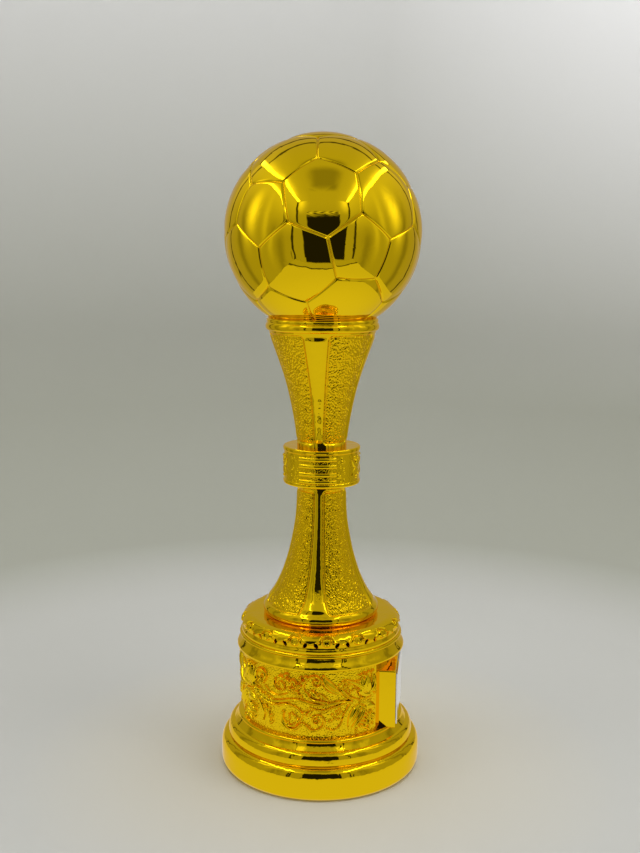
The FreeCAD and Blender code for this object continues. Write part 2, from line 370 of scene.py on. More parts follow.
def remap(tree: Tree, value: object, low: float, high: float, to_low: float,
          to_high: float) -> bpy.types.NodeSocket:
    """Clamped linear change of range."""
    node = add(tree, "MapRange", {"clamp": True}, i0=value, i1=low, i2=high, i3=to_low, i4=to_high)
    return node.outputs[0]


def mix_colour(tree: Tree, amount: object, first: object, second: object) -> bpy.types.NodeSocket:
    """Result socket of a colour mix."""
    node = tree.nodes.new("ShaderNodeMix")
    node.data_type = "RGBA"
    for socket, value in ((node.inputs[0], amount), (node.inputs[6], first), (node.inputs[7], second)):
        if isinstance(value, bpy.types.NodeSocket):
            tree.links.new(value, socket)
        elif isinstance(value, (int, float)):
            socket.default_value = value
        else:
            socket.default_value = tuple(value) + (1.0,)
    return node.outputs[2]


def object_point(tree: Tree) -> bpy.types.NodeSocket:
    """Position on the piece, in metres."""
    return add(tree, "TexCoord").outputs["Object"]


def handling_haze() -> Tree:
    """Faint cloudiness that polishing and handling leave on plated metal."""
    tree = group_tree("handling_haze",
                      {"Scale": ("NodeSocketFloat", 40.0), "Low": ("NodeSocketFloat", 0.03),
                       "High": ("NodeSocketFloat", 0.08)},
                      {"Mask": "NodeSocketFloat", "Roughness": "NodeSocketFloat"})
    source = tree.nodes["In"].outputs
    cloud = add(tree, "TexNoise", None, Vector=object_point(tree), Scale=source["Scale"], Detail=4.0,
                Roughness=0.6)
    smear = add(tree, "TexNoise", None, Vector=object_point(tree),
                Scale=maths(tree, "MULTIPLY", source["Scale"], 6.0),
                Detail=2.0, Distortion=1.5)
    both = maths(tree, "MULTIPLY", remap(tree, cloud.outputs[0], 0.4, 0.7, 0.0, 1.0),
                 remap(tree, smear.outputs[0], 0.35, 0.7, 0.2, 1.0))
    span = maths(tree, "SUBTRACT", source["High"], source["Low"])
    rough = maths(tree, "ADD", source["Low"], maths(tree, "MULTIPLY", both, span))
    tree.links.new(both, tree.nodes["Out"].inputs["Mask"])
    tree.links.new(rough, tree.nodes["Out"].inputs["Roughness"])
    return tree


def fine_grain() -> Tree:
    """Small surface grain as a height, for cast, stippled and moulded faces."""
    tree = group_tree("fine_grain", {"Scale": ("NodeSocketFloat", 900.0), "Depth": ("NodeSocketFloat", 1.0)},
                      {"Height": "NodeSocketFloat"})
    source = tree.nodes["In"].outputs
    noise = add(tree, "TexNoise", None, Vector=object_point(tree), Scale=source["Scale"], Detail=3.0,
                Roughness=0.55)
    cells = add(tree, "TexVoronoi", {"feature": "SMOOTH_F1"}, Vector=object_point(tree),
                Scale=maths(tree, "MULTIPLY", source["Scale"], 0.6), Smoothness=0.6)
    both = maths(tree, "ADD", noise.outputs[0], cells.outputs["Distance"])
    tree.links.new(maths(tree, "MULTIPLY", both, source["Depth"]), tree.nodes["Out"].inputs["Height"])
    return tree


def plating_ripple() -> Tree:
    """Slow unevenness of a cast surface under its plating, as a height."""
    tree = group_tree("plating_ripple", {"Scale": ("NodeSocketFloat", 150.0)}, {"Height": "NodeSocketFloat"})
    source = tree.nodes["In"].outputs
    slow = add(tree, "TexNoise", None, Vector=object_point(tree), Scale=source["Scale"], Detail=1.0)
    quick = add(tree, "TexNoise", None, Vector=object_point(tree),
                Scale=maths(tree, "MULTIPLY", source["Scale"], 2.7),
                Detail=1.0)
    both = maths(tree, "ADD", slow.outputs[0], maths(tree, "MULTIPLY", quick.outputs[0], 0.3))
    tree.links.new(both, tree.nodes["Out"].inputs["Height"])
    return tree


def recess_painted_shade() -> Tree:
    """Painted shade: mask that makes the low places of a relief darker and redder, standing in for the shade that
    falls there.
    """
    tree = group_tree("recess_painted_shade", {"Low": ("NodeSocketFloat", -0.6), "High": ("NodeSocketFloat", 0.4)},
                      {"Mask": "NodeSocketFloat"})
    source = tree.nodes["In"].outputs
    height = add(tree, "Attribute", {"attribute_name": "relief"}).outputs["Fac"]
    node = add(tree, "MapRange", {"clamp": True}, i0=height, i1=source["Low"], i2=source["High"], i3=1.0,
               i4=0.0)
    tree.links.new(node.outputs[0], tree.nodes["Out"].inputs["Mask"])
    return tree


def brushed_lines() -> Tree:
    """Fine parallel lines along one direction, as a height and a mask."""
    tree = group_tree("brushed_lines",
                      {"Scale": ("NodeSocketFloat", 300.0), "Stretch": ("NodeSocketFloat", 30.0)},
                      {"Height": "NodeSocketFloat"})
    source = tree.nodes["In"].outputs
    axis = add(tree, "SeparateXYZ", None, Vector=object_point(tree))
    tall = maths(tree, "MULTIPLY", axis.outputs["Z"], source["Stretch"])
    place = add(tree, "CombineXYZ", None, X=axis.outputs["X"], Y=axis.outputs["Y"], Z=tall)
    noise = add(tree, "TexNoise", None, Vector=place.outputs[0], Scale=source["Scale"], Detail=2.0)
    tree.links.new(noise.outputs[0], tree.nodes["Out"].inputs["Height"])
    return tree


class Shaders:
    """The shared shader groups, each built once."""

    def __init__(self) -> None:
        """Builds the groups."""
        self.haze = handling_haze()
        self.grain = fine_grain()
        self.recess = recess_painted_shade()
        self.lines = brushed_lines()
        self.ripple = plating_ripple()

    def place(self, tree: Tree, group: Tree, **values: float) -> Node:
        """Puts a group in a material with its own values."""
        node = tree.nodes.new("ShaderNodeGroup")
        node.node_tree = group
        for key, value in values.items():
            node.inputs[key].default_value = value
        return node


def blank_material(name: str) -> tuple[bpy.types.Material, Tree, Node]:
    """A node material with only its Principled shader and output."""
    material = bpy.data.materials.new(name)
    material.use_nodes = True
    tree = material.node_tree
    return material, tree, tree.nodes["Principled BSDF"]


# ------------------------------------------------------------------- finishes
@dataclass(frozen=True)
class GoldFinish:
    """Mirror gold plating.

    Attributes:
        name: material name.
        tone: base colour of the plating.
        deep: painted shade colour that recesses tend to.
        pit_shade: painted shade colour of the deepest pits.
        smooth_low: roughness where clean.
        smooth_high: roughness where hazed.
        grain_scale: size of the surface grain, per metre.
        grain_depth: depth of the grain in metres.
        haze_scale: size of the haze clouds, per metre.
        ripple_scale: size of the slow unevenness, per metre.
        ripple_depth: depth of the slow unevenness in metres.
    """

    name: str
    tone: tuple[float, float, float] = (1.0, 0.68, 0.006)
    deep: tuple[float, float, float] = (0.96, 0.54, 0.002)
    pit_shade: tuple[float, float, float] = (0.16, 0.035, 0.004)
    smooth_low: float = 0.025
    smooth_high: float = 0.07
    grain_scale: float = 700.0
    grain_depth: float = 0.0
    haze_scale: float = 25.0
    ripple_scale: float = 150.0
    ripple_depth: float = 0.00022

    def make(self, shaders: Shaders) -> bpy.types.Material:
        """Builds the material."""
        material, tree, shader = blank_material(self.name)
        haze = shaders.place(tree, shaders.haze, Scale=self.haze_scale, Low=self.smooth_low,
                             High=self.smooth_high)
        # Painted shade: low places of the relief go halfway to the darker, redder deep colour.
        recess = shaders.place(tree, shaders.recess, Low=-0.9, High=0.5)
        shift = maths(tree, "MULTIPLY", recess.outputs["Mask"], 0.5, clamp=True)
        # Painted shade: the deepest pits go to a near-black red.
        pit = shaders.place(tree, shaders.recess, Low=-2.6, High=-1.1)
        recess_shaded = mix_colour(tree, shift, self.tone, self.deep)
        tree.links.new(mix_colour(tree, pit.outputs["Mask"], recess_shaded, self.pit_shade), shader.inputs["Base Color"])
        tree.links.new(haze.outputs["Roughness"], shader.inputs["Roughness"])
        shader.inputs["Metallic"].default_value = 1.0
        shader.inputs["Specular Tint"].default_value = (1.0, 0.86, 0.60, 1.0)
        ripple = shaders.place(tree, shaders.ripple, Scale=self.ripple_scale)
        bump = add(tree, "Bump", None, Distance=self.ripple_depth, Strength=1.0,
                   Height=ripple.outputs["Height"])
        if self.grain_depth > 0.0:
            grain = shaders.place(tree, shaders.grain, Scale=self.grain_scale, Depth=1.0)
            bump = add(tree, "Bump", None, Distance=self.grain_depth, Strength=1.0,
                       Height=grain.outputs["Height"],
                       Normal=bump.outputs["Normal"])
        tree.links.new(bump.outputs["Normal"], shader.inputs["Normal"])
        return material


@dataclass(frozen=True)
class PlainFinish:
    """A finish with a varied colour, varied roughness and a grain.

    Attributes:
        name: material name.
        light: lighter colour.
        dark: darker colour.
        metallic: 1 for bare metal.
        rough_low: lowest roughness.
        rough_high: highest roughness.
        scale: size of the variation, per metre.
        depth: depth of the grain in metres.
        brushed: fine parallel lines instead of an even grain.
        sheen: soft fibre sheen.
    """

    name: str
    light: tuple[float, float, float]
    dark: tuple[float, float, float]
    metallic: float = 0.0
    rough_low: float = 0.3
    rough_high: float = 0.5
    scale: float = 300.0
    depth: float = 0.00005
    brushed: bool = False
    sheen: float = 0.0

    def make(self, shaders: Shaders) -> bpy.types.Material:
        """Builds the material."""
        material, tree, shader = blank_material(self.name)
        haze = shaders.place(tree, shaders.haze, Scale=self.scale, Low=self.rough_low, High=self.rough_high)
        if self.brushed:
            grain = shaders.place(tree, shaders.lines, Scale=self.scale, Stretch=25.0)
        else:
            grain = shaders.place(tree, shaders.grain, Scale=self.scale * 4.0, Depth=1.0)
        tree.links.new(mix_colour(tree, haze.outputs["Mask"], self.light, self.dark),
                       shader.inputs["Base Color"])
        tree.links.new(haze.outputs["Roughness"], shader.inputs["Roughness"])
        shader.inputs["Metallic"].default_value = self.metallic
        shader.inputs["Sheen Weight"].default_value = self.sheen
        bump = add(tree, "Bump", None, Distance=self.depth, Strength=1.0, Height=grain.outputs["Height"])
        tree.links.new(bump.outputs["Normal"], shader.inputs["Normal"])
        return material


@dataclass
class Finishes:
    """Every finish of the trophy, by slot and use."""

    shaders: Shaders = field(default_factory=Shaders)
    made: dict[str, bpy.types.Material] = field(default_factory=dict)

    def get(self, finish: GoldFinish | PlainFinish) -> bpy.types.Material:
        """The material of a finish, built on first use."""
        if finish.name not in self.made:
            self.made[finish.name] = finish.make(self.shaders)
        return self.made[finish.name]


MIRROR_GOLD = GoldFinish("mirror_gold")
BALL_GOLD = GoldFinish("ball_gold", ripple_scale=90.0, ripple_depth=0.00009)
STIPPLED_GOLD = GoldFinish("stippled_gold", smooth_low=0.05, smooth_high=0.12, grain_depth=0.00002,
                           grain_scale=1100.0)
SATIN_SILVER = PlainFinish("satin_silver", (0.86, 0.86, 0.84), (0.74, 0.74, 0.73), metallic=1.0,
                           rough_low=0.12,
                           rough_high=0.25, scale=400.0, depth=0.000004, brushed=True)
BLACK_FELT = PlainFinish("black_felt", (0.035, 0.038, 0.035), (0.012, 0.012, 0.012), rough_low=0.85,
                         rough_high=1.0,
                         scale=700.0, depth=0.0003, sheen=0.6)
ZINC_STEEL = PlainFinish("zinc_steel", (0.66, 0.68, 0.70), (0.48, 0.50, 0.54), metallic=1.0, rough_low=0.2,
                         rough_high=0.4, scale=250.0, depth=0.00001)
CAST_IRON = PlainFinish("cast_iron", (0.14, 0.14, 0.15), (0.07, 0.065, 0.06), metallic=0.8, rough_low=0.5,
                        rough_high=0.8, scale=180.0, depth=0.0002)
TURNED_BRASS = PlainFinish("turned_brass", (0.78, 0.58, 0.26), (0.60, 0.43, 0.18), metallic=1.0,
                           rough_low=0.18,
                           rough_high=0.35, scale=350.0, depth=0.000008, brushed=True)
DARK_RUBBER = PlainFinish("dark_rubber", (0.03, 0.03, 0.03), (0.015, 0.015, 0.015), rough_low=0.6,
                          rough_high=0.8,
                          scale=300.0, depth=0.00004)
PRESSED_BOARD = PlainFinish("pressed_board", (0.30, 0.20, 0.12), (0.17, 0.11, 0.06), rough_low=0.6,
                            rough_high=0.85,
                            scale=260.0, depth=0.0001)
FOAM_TAPE = PlainFinish("foam_tape", (0.70, 0.70, 0.66), (0.58, 0.58, 0.54), rough_low=0.6, rough_high=0.8,
                        scale=500.0, depth=0.00005)


def dress(piece: bpy.types.Object, material: bpy.types.Material, slot: Slot, *nodes: str) -> None:
    """Gives a new piece its material and body, and hides the solids it stands for."""
    piece.data.materials.clear()
    piece.data.materials.append(material)
    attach(piece, BODY)
    if nodes:
        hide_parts(*nodes)
    LOG.info("piece %s: %d faces", piece.name, len(piece.data.polygons))


# ----------------------------------------------------------------------- ball
def on_sphere(azimuth: float, elevation: float) -> Array:
    """Unit vector; azimuth 0 is -Y and 90 is +X."""
    a, e = math.radians(azimuth), math.radians(elevation)
    return np.array([math.sin(a) * math.cos(e), -math.cos(a) * math.cos(e), math.sin(e)])


@dataclass
class Football:
    """Hollow ball of twelve five-sided and twenty six-sided panels.

    Attributes:
        radius: outside radius.
        centre: height of the centre.
        groove: depth of a seam.
        groove_half: half width of a seam.
        pillow: how far a panel falls away towards its seams.
        pillow_reach: how far from a seam the fall begins.
        turn: turn of the panel pattern about the upright axis, in degrees.
        tip: tip of the panel pattern about the X axis, in degrees.
        edge_steps: samples along a panel edge.
    """

    radius: float = 50.0
    centre: float = 278.7
    groove: float = 0.44
    groove_half: float = 0.46
    pillow: float = 0.42
    pillow_reach: float = 4.6
    turn: float = -1.4
    tip: float = -1.5
    edge_steps: int = 18

    def corners(self) -> Array:
        """Centres of the five-sided panels, with a six-sided panel close to the very top."""
        ring = [on_sphere(30 + 120 * k + self.turn, 52.6226) for k in range(3)]
        ring += [on_sphere(-30 + 120 * k + self.turn, 10.8123) for k in range(3)]
        hubs = np.array(ring + [-v for v in ring])
        cos, sin = math.cos(math.radians(self.tip)), math.sin(math.radians(self.tip))
        return hubs @ np.array([[1.0, 0.0, 0.0], [0.0, cos, sin], [0.0, -sin, cos]])

    def panels(self) -> list[Array]:
        """Corner directions of each panel, in order round it."""
        hubs = self.corners()
        near = [[j for j in range(12) if j != i and hubs[i] @ hubs[j] > 0.4] for i in range(12)]
        found = [[(2 * hubs[i] + hubs[j]) / 3 for j in near[i]] for i in range(12)]
        for i in range(12):
            for j in near[i]:
                for k in near[i]:
                    if i < j < k and k in near[j]:
                        trio = [(i, j), (j, i), (j, k), (k, j), (k, i), (i, k)]
                        found.append([(2 * hubs[p] + hubs[q]) / 3 for p, q in trio])
        return [self.ordered(np.array([v / np.linalg.norm(v) for v in panel])) for panel in found]

    @staticmethod
    def ordered(panel: Array) -> Array:
        """Corners sorted round the middle of the panel."""
        middle = panel.mean(0) / np.linalg.norm(panel.mean(0))
        across = panel[0] - middle * (panel[0] @ middle)
        across /= np.linalg.norm(across)
        side = np.cross(middle, across)
        turn = [math.atan2(v @ side, v @ across) for v in panel]
        return panel[np.argsort(turn)]

    def rings(self, apothem: float) -> Array:
        """Fractions from the middle to the edge, closest together at the seam."""
        steps = [0.0, 0.1, 0.2, 0.3, 0.42, 0.56, 0.72, 0.95, 1.25, 1.7, 2.3, 3.1, 4.1, 5.3, 6.8, 8.6, 10.6,
                 12.8]
        inside = [1.0 - step / apothem for step in steps if step < apothem - 1.2]
        return np.array(inside[::-1])

    def surface(self, panel: Array) -> tuple[Array, Array]:
        """Positions and quads of one panel, as a fan of graded sectors."""
        count = len(panel)
        middle = panel.mean(0) / np.linalg.norm(panel.mean(0))
        normals = np.array([np.cross(panel[i], panel[(i + 1) % count]) for i in range(count)])
        normals /= np.linalg.norm(normals, axis=1)[:, None]
        apothem = self.radius * math.asin(normals[0] @ middle)
        verts, quads = [], []
        share = np.linspace(0, 1, self.edge_steps + 1)[None, :, None]
        ring = self.rings(apothem)[:, None, None]
        for i in range(count):
            edge = (1 - share) * panel[i] + share * panel[(i + 1) % count]
            grid = middle + ring * (edge - middle)
            start = sum(len(v) for v in verts)
            verts.append(grid.reshape(-1, 3))
            quads.append(grid_quads(len(ring), self.edge_steps + 1, False, False)[:, ::-1] + start)
            hub = sum(len(v) for v in verts)
            verts.append(middle[None, :])
            inner = start + np.arange(self.edge_steps + 1)
            fan = np.stack([np.full(self.edge_steps // 2, hub), inner[0:-2:2], inner[1:-1:2], inner[2::2]],
                           -1)
            quads.append(fan)
        points = np.vstack(verts)
        points /= np.linalg.norm(points, axis=1)[:, None]
        away = self.radius * np.arcsin(np.clip(points @ normals.T, 0.0, 1.0))
        fall = self.pillow * np.exp(-away / self.pillow_reach).sum(1)
        seam = self.groove * np.exp(-(away.min(1) / self.groove_half) ** 2)
        out = self.radius - fall - seam
        return points * out[:, None] + np.array([0, 0, self.centre]), np.vstack(quads)

    def whole(self) -> bpy.types.Object:
        """The complete ball as one welded mesh."""
        verts, quads, total = [], [], 0
        for panel in self.panels():
            points, faces = self.surface(panel)
            verts.append(points)
            quads.append(faces + total)
            total += len(points)
        points = np.vstack(verts)
        _, first, back = np.unique(np.round(points, 3), axis=0, return_index=True, return_inverse=True)
        return mesh_object("ball_whole", points[first], back.reshape(-1)[np.vstack(quads)])

    def halves(self, ball: bpy.types.Object) -> list[bpy.types.Object]:
        """Splits the ball at its equator into the two spun shells, keeping the shading of the whole."""
        made = []
        normals = np.zeros(len(ball.data.vertices) * 3, np.float32)
        ball.data.vertices.foreach_get("normal", normals)
        layer = ball.data.attributes.new("whole_normal", "FLOAT_VECTOR", "POINT")
        layer.data.foreach_set("vector", normals)
        for name, upper in (("ball_upper", True), ("ball_lower", False)):
            work = bmesh.new()
            work.from_mesh(ball.data)
            everything = work.verts[:] + work.edges[:] + work.faces[:]
            bmesh.ops.bisect_plane(work, geom=everything, dist=1e-7, plane_co=(0, 0, self.centre * MM),
                                   plane_no=(0, 0, 1), clear_inner=upper, clear_outer=not upper)
            mesh = bpy.data.meshes.new(name)
            work.to_mesh(mesh)
            work.free()
            mesh.shade_smooth()
            kept = np.zeros(len(mesh.vertices) * 3, np.float32)
            mesh.attributes["whole_normal"].data.foreach_get("vector", kept)
            mesh.normals_split_custom_set_from_vertices(kept.reshape(-1, 3).tolist())
            mesh.attributes.remove(mesh.attributes["whole_normal"])
            half = bpy.data.objects.new(name, mesh)
            bpy.context.scene.collection.objects.link(half)
            colour_layer(half, "relief", np.full(len(mesh.vertices), 0.5))
            made.append(half)
        bpy.data.objects.remove(ball)
        return made

    def build(self, finishes: Finishes) -> None:
        """Makes and dresses both shells."""
        upper, lower = self.halves(self.whole())
        gold = finishes.get(BALL_GOLD)
        dress(upper, gold, Slot.SHELL, "ball_upper_shell")
        dress(lower, gold, Slot.SHELL, "ball_lower_shell")


@dataclass
class SeatRing:
    """Double bead that the ball sits in."""

    bottom: float = 230.5
    top: float = 237.9

    def build(self, finishes: Finishes) -> None:
        """Makes and dresses the ring."""
        lower = natural_spline([(27.7, self.bottom), (28.6, 231.0), (29.15, 232.3), (28.95, 233.8),
                                (28.45, 234.7)],
                               0.15)
        upper = natural_spline([(28.45, 234.7), (28.6, 235.4), (28.2, 236.6), (27.2, self.top - 0.6),
                                (26.0, self.top)], 0.15)
        ring = Turned("seat_ring", join(lower, upper), [(24.0, self.top), (20.0, 233.5), (20.0, self.bottom)],
                      steps=256)
        dress(ring.build(), finishes.get(MIRROR_GOLD), Slot.GOLD, "ball_seat_ring")


# ---------------------------------------------------------------------- stems
@dataclass
class Stem:
    """Trumpet casting with four plain ribs between four hammered panels.

    Attributes:
        name: piece name.
        node: the solid it stands for.
        outline: (radius, height) points from the bottom up.
        panel_low: height where the panels begin.
        panel_high: height where they end.
        rib_low: half angle of a rib at the bottom of the panels.
        rib_high: half angle of a rib at the top of the panels.
        rib_flare: extra half angle that opens quickly at the wide end.
        flare_up: the wide end is the upper one.
        seed: which hammering.
    """

    name: str
    node: str
    outline: Sequence[tuple[float, float]]
    panel_low: float
    panel_high: float
    rib_low: float
    rib_high: float
    rib_flare: float
    flare_up: bool
    seed: int
    sink: float = 0.55
    pebble: float = 1.05
    pebble_height: float = 0.42
    corner: float = 2.2
    bulge: float = 0.55

    def relief(self, skin: Array) -> Relief:
        """Height function of the panels."""
        along = np.concatenate([[0.0], np.cumsum(np.hypot(*np.diff(skin, axis=0).T))])
        low = float(np.interp(self.panel_low, skin[:, 1], along))
        high = float(np.interp(self.panel_high, skin[:, 1], along))

        def height(azimuth: Array, distance: Array) -> Array:
            """How far the surface stands out at each place."""
            radius = np.interp(distance, along, skin[:, 0])
            share = np.clip((distance - low) / (high - low), 0, 1)
            wide = share if self.flare_up else 1.0 - share
            rib = self.rib_low + (self.rib_high - self.rib_low) * share + self.rib_flare * wide ** 8
            offset = (azimuth % 90.0) - 45.0
            across = (np.abs(offset) - (45.0 - rib)) * math.pi / 180.0 * radius
            ends = np.maximum(low - distance, distance - high)
            qx, qy = across + self.corner, ends + self.corner
            edge = np.minimum(np.maximum(qx, qy), 0) + np.hypot(np.maximum(qx, 0),
                                                                np.maximum(qy, 0)) - self.corner
            panel = -self.sink * smooth(0.35, -0.45, edge)
            panel -= 0.16 * np.exp(-((edge + 0.85) / 0.28) ** 2)
            half_rib = np.maximum(rib, 1.0) * math.pi / 180.0 * radius
            from_rib = (45.0 - np.abs(offset)) * math.pi / 180.0 * radius
            middle = smooth(0.5, 3.0, distance - low) * smooth(0.5, 3.0, high - distance)
            panel += self.bulge * middle * np.clip(1.0 - (from_rib / half_rib) ** 2, 0, 1)
            u = (offset * math.pi / 180.0) * radius + 17.3 * np.floor(azimuth / 90.0)
            warp_u = u + 0.5 * np.sin(distance * 0.9 + u * 0.35)
            warp_v = distance + 0.5 * np.sin(u * 1.1 - distance * 0.3)
            gap, pick = pebbles(warp_u * 1.15, warp_v * 0.85, self.pebble, self.seed)
            gap2, _ = pebbles(warp_u + 7.0, warp_v, self.pebble * 0.55, self.seed + 1)
            knocks = self.pebble_height * (0.35 + 0.65 * pick) * (1.0 - np.clip(gap / 0.72, 0, 1) ** 2)
            knocks += 0.10 * (1.0 - np.clip(gap2 / 0.7, 0, 1) ** 2)
            return panel + knocks * smooth(-0.95, -1.35, edge)

        return height

    def build(self, finishes: Finishes) -> None:
        """Makes and dresses the stem."""
        skin = natural_spline(self.outline, 0.22)
        back = np.vstack([skin[::-8], skin[:1]]) - np.array([2.2, 0.0])
        stem = Turned(self.name, skin, back, steps=860, relief=self.relief(skin))
        dress(stem.build(), finishes.get(MIRROR_GOLD), Slot.GOLD, self.node)


UPPER_OUTLINE = [(12.9, 171.0), (12.8, 174.0), (13.2, 178.5), (14.3, 185.5), (16.3, 195.5),
                 (18.7, 205.0), (21.5, 213.5), (24.4, 221.6), (26.7, 228.0), (27.6, 230.5)]
LOWER_OUTLINE = [(28.9, 81.8), (30.0, 82.9), (30.4, 84.6), (30.1, 86.1), (29.2, 87.3), (27.3, 89.8),
                 (24.9, 93.2),
                 (22.3, 98.0), (20.1, 103.0), (18.4, 108.0), (16.9, 113.0), (15.7, 118.0), (14.7, 123.0),
                 (13.8, 128.0), (13.1, 133.0), (12.7, 138.0), (12.5, 143.0), (12.5, 151.4)]


# --------------------------------------------------------------------- collar
@dataclass
class Collar:
    """Round collar with two rims, stacked bars front and back, and small bead motifs at the sides."""

    bottom: float = 151.4
    top: float = 171.0
    band: float = 19.55
    bars: tuple[float, ...] = (3.1, 6.9, 11.0, 14.6)

    def skin(self) -> Array:
        """Outside from the bottom edge to the top edge."""
        low, high = self.bottom, self.top
        foot = natural_spline([(18.6, low), (19.5, low + 0.12), (20.0, low + 0.7), (20.1, low + 1.3)], 0.12)
        side = straight([(20.1, low + 1.3), (20.0, low + 1.9), (self.band, low + 2.3),
                         (self.band, high - 2.4),
                         (20.0, high - 2.0), (20.1, high - 1.2)], 0.17)
        head = natural_spline([(20.1, high - 1.2), (20.0, high - 0.5), (19.6, high - 0.1), (18.8, high)],
                              0.12)
        return join(foot, side, head)

    def relief(self, azimuth: Array, along: Array) -> Array:
        """Bars, dots, beads and leaf strokes."""
        base = 1.6
        turn = (azimuth + 90.0) % 180.0 - 90.0
        u = turn * math.pi / 180.0 * self.band
        v = along - base
        half = 28.0 * math.pi / 180.0 * self.band
        high = np.zeros_like(u)
        for centre in self.bars:
            end = np.maximum(np.abs(u) - half, 0)
            gap = np.hypot(end, v - centre)
            high = np.maximum(high, 0.62 * dome(gap, 0.95))
        rnd = np.random.RandomState(5)
        for side in (-1, 1):
            for k in range(16):
                spot_u = side * (half + 1.3 + rnd.rand() * 4.4)
                spot_v = 2.4 + rnd.rand() * 13.0
                high = np.maximum(high,
                                  0.38 * dome(np.hypot(u - spot_u, v - spot_v), 0.42 + 0.35 * rnd.rand()))
        side_u = (np.abs(turn) - 71.0) * math.pi / 180.0 * self.band
        sign = np.where(turn < 0, -1.0, 1.0)
        high = np.maximum(high, self.motif(side_u * sign, v, sign))
        gap, pick = pebbles(u + 60.0, along, 0.8, 31)
        grain = 0.11 * (0.4 + 0.6 * pick) * (1.0 - np.clip(gap / 0.65, 0, 1) ** 2)
        inner = smooth(2.6, 3.4, along) * smooth(17.8, 17.0, along)
        return np.where(high > 0.02, high, grain * inner)

    def motif(self, u: Array, v: Array, sign: Array) -> Array:
        """Two beads over a bar with a cross of four leaves."""
        high = np.zeros_like(u)
        for du, dv, size in ((-1.6, 14.2, 0.95), (1.6, 14.2, 0.95), (0.0, 12.2, 1.15), (0.0, 4.2, 0.9)):
            high = np.maximum(high, 0.85 * dome(np.hypot(u - du, v - dv), size))
        bar = np.hypot(u * 1.0, np.maximum(np.abs(v - 8.2) - 2.6, 0))
        high = np.maximum(high, 0.65 * dome(bar, 0.8))
        for slope in (-1, 1):
            for up in (-1, 1):
                along = (u * slope + (v - 9.0) * up) / math.sqrt(2.0)
                across = (u * slope - (v - 9.0) * up) / math.sqrt(2.0)
                reach = np.clip(along / 6.2, 0, 1)
                width = 1.35 * np.sin(math.pi * np.clip(reach, 0.02, 1) ** 0.8) + 1e-6
                leaf = 0.62 * dome(across, width) - 0.2 * np.exp(-(across / 0.22) ** 2)
                high = np.maximum(high, np.where((along > 0) & (along < 6.2), leaf, 0.0))
        return high

    def build(self, finishes: Finishes) -> None:
        """Makes and dresses the collar."""
        collar = Turned("collar", self.skin(), [(13.0, self.top), (10.6, self.top), (10.6, self.bottom),
                                                (13.0, self.bottom)], steps=640, relief=self.relief)
        dress(collar.build(), finishes.get(MIRROR_GOLD), Slot.GOLD, "collar_ring")


# ---------------------------------------------------------------------- crown
@dataclass
class Crown:
    """Cap of the base: a scalloped edge over round bosses, with two pits between neighbours."""

    bottom: float = 72.2
    top: float = 81.8
    radius: float = 42.0
    bosses: int = 16
    arch: float = 3.5

    def skin(self) -> Array:
        """Outside from the bottom of the wall, over the slope, to under the stem."""
        wall = straight([(self.radius - 0.15, self.bottom), (self.radius, self.bottom + 0.4),
                         (self.radius, 76.2)], 0.3)
        slope = natural_spline([(self.radius, 76.2), (41.95, 77.6), (41.3, 79.3), (39.9, 80.8), (38.3, 81.55),
                                (36.8, self.top)], 0.2)
        head = straight([(36.8, self.top), (27.5, self.top)], 0.5)
        return join(wall, slope, head)

    def relief(self, azimuth: Array, along: Array) -> Array:
        """Scallops, bosses and pits."""
        pitch = 360.0 / self.bosses
        turn = (azimuth + pitch) % pitch - pitch / 2.0
        u = turn * math.pi / 180.0 * 39.9
        half = pitch / 2.0 * math.pi / 180.0 * 39.9
        v = along - 6.3
        gap = np.hypot(u, v)
        side = half - np.abs(u)
        line = np.where(np.abs(u) < self.arch, np.sqrt(np.clip(self.arch ** 2 - u ** 2, 0, None)), 0.0)
        tongue = -1.4 * smooth(self.arch - 0.6, half, np.abs(u))
        line = line + tongue
        above = v - line
        sunk = -0.75 * smooth(0.25, -0.35, above)
        lip = 0.28 * np.exp(-((above - 0.25) / 0.38) ** 2) * smooth(-4.4, -2.0, v)
        fade = smooth(-4.9, -3.2, v)
        high = sunk * fade + lip
        ring = 1.15 * np.exp(-((gap - 1.75) / 0.55) ** 2)
        cup = 0.62 * dome(gap, 2.3)
        high = np.maximum(high, -0.75 * fade + np.maximum(ring * 0.95, cup) * (gap < 3.0))
        pit_u = side - 2.6 + (v + 1.7) * 0.35
        pit = np.hypot(pit_u / 1.0, (v + 1.7) / 1.55)
        high = high - 3.2 * smooth(1.0, 0.5, pit)
        return high

    def build(self, finishes: Finishes) -> None:
        """Makes and dresses the crown."""
        crown = Turned("crown", self.skin(),
                       [(24.0, self.top), (24.0, 76.0), (34.0, 76.0), (34.0, self.bottom)],
                       steps=1120, relief=self.relief)
        dress(crown.build(), finishes.get(MIRROR_GOLD), Slot.GOLD, "base_crown")


# ----------------------------------------------------------------- mouldings
@dataclass
class RingMoulding:
    """Thin bead over a fat half-round bead, above the scroll band."""

    bottom: float = 63.8
    split: float = 70.0
    top: float = 72.2

    def build(self, finishes: Finishes) -> None:
        """Makes and dresses the moulding."""
        fat = natural_spline([(43.0, self.bottom), (44.0, self.bottom + 0.35), (44.3, self.bottom + 1.2),
                              (43.95, self.bottom + 2.3), (43.2, self.bottom + 3.4), (42.4,
                                                                                      self.bottom + 4.6),
                              (41.8, self.bottom + 5.7), (41.5, self.split)], 0.14)
        thin = natural_spline([(41.5, self.split), (42.4, self.split + 0.35), (43.0, self.split + 1.0),
                               (42.8, self.split + 1.7), (42.0, self.top)], 0.12)
        ring = Turned("ring_moulding_visual", join(fat, thin), [(39.0, self.top), (39.0, self.bottom)],
                      steps=384)
        dress(ring.build(), finishes.get(MIRROR_GOLD), Slot.GOLD, "ring_moulding")


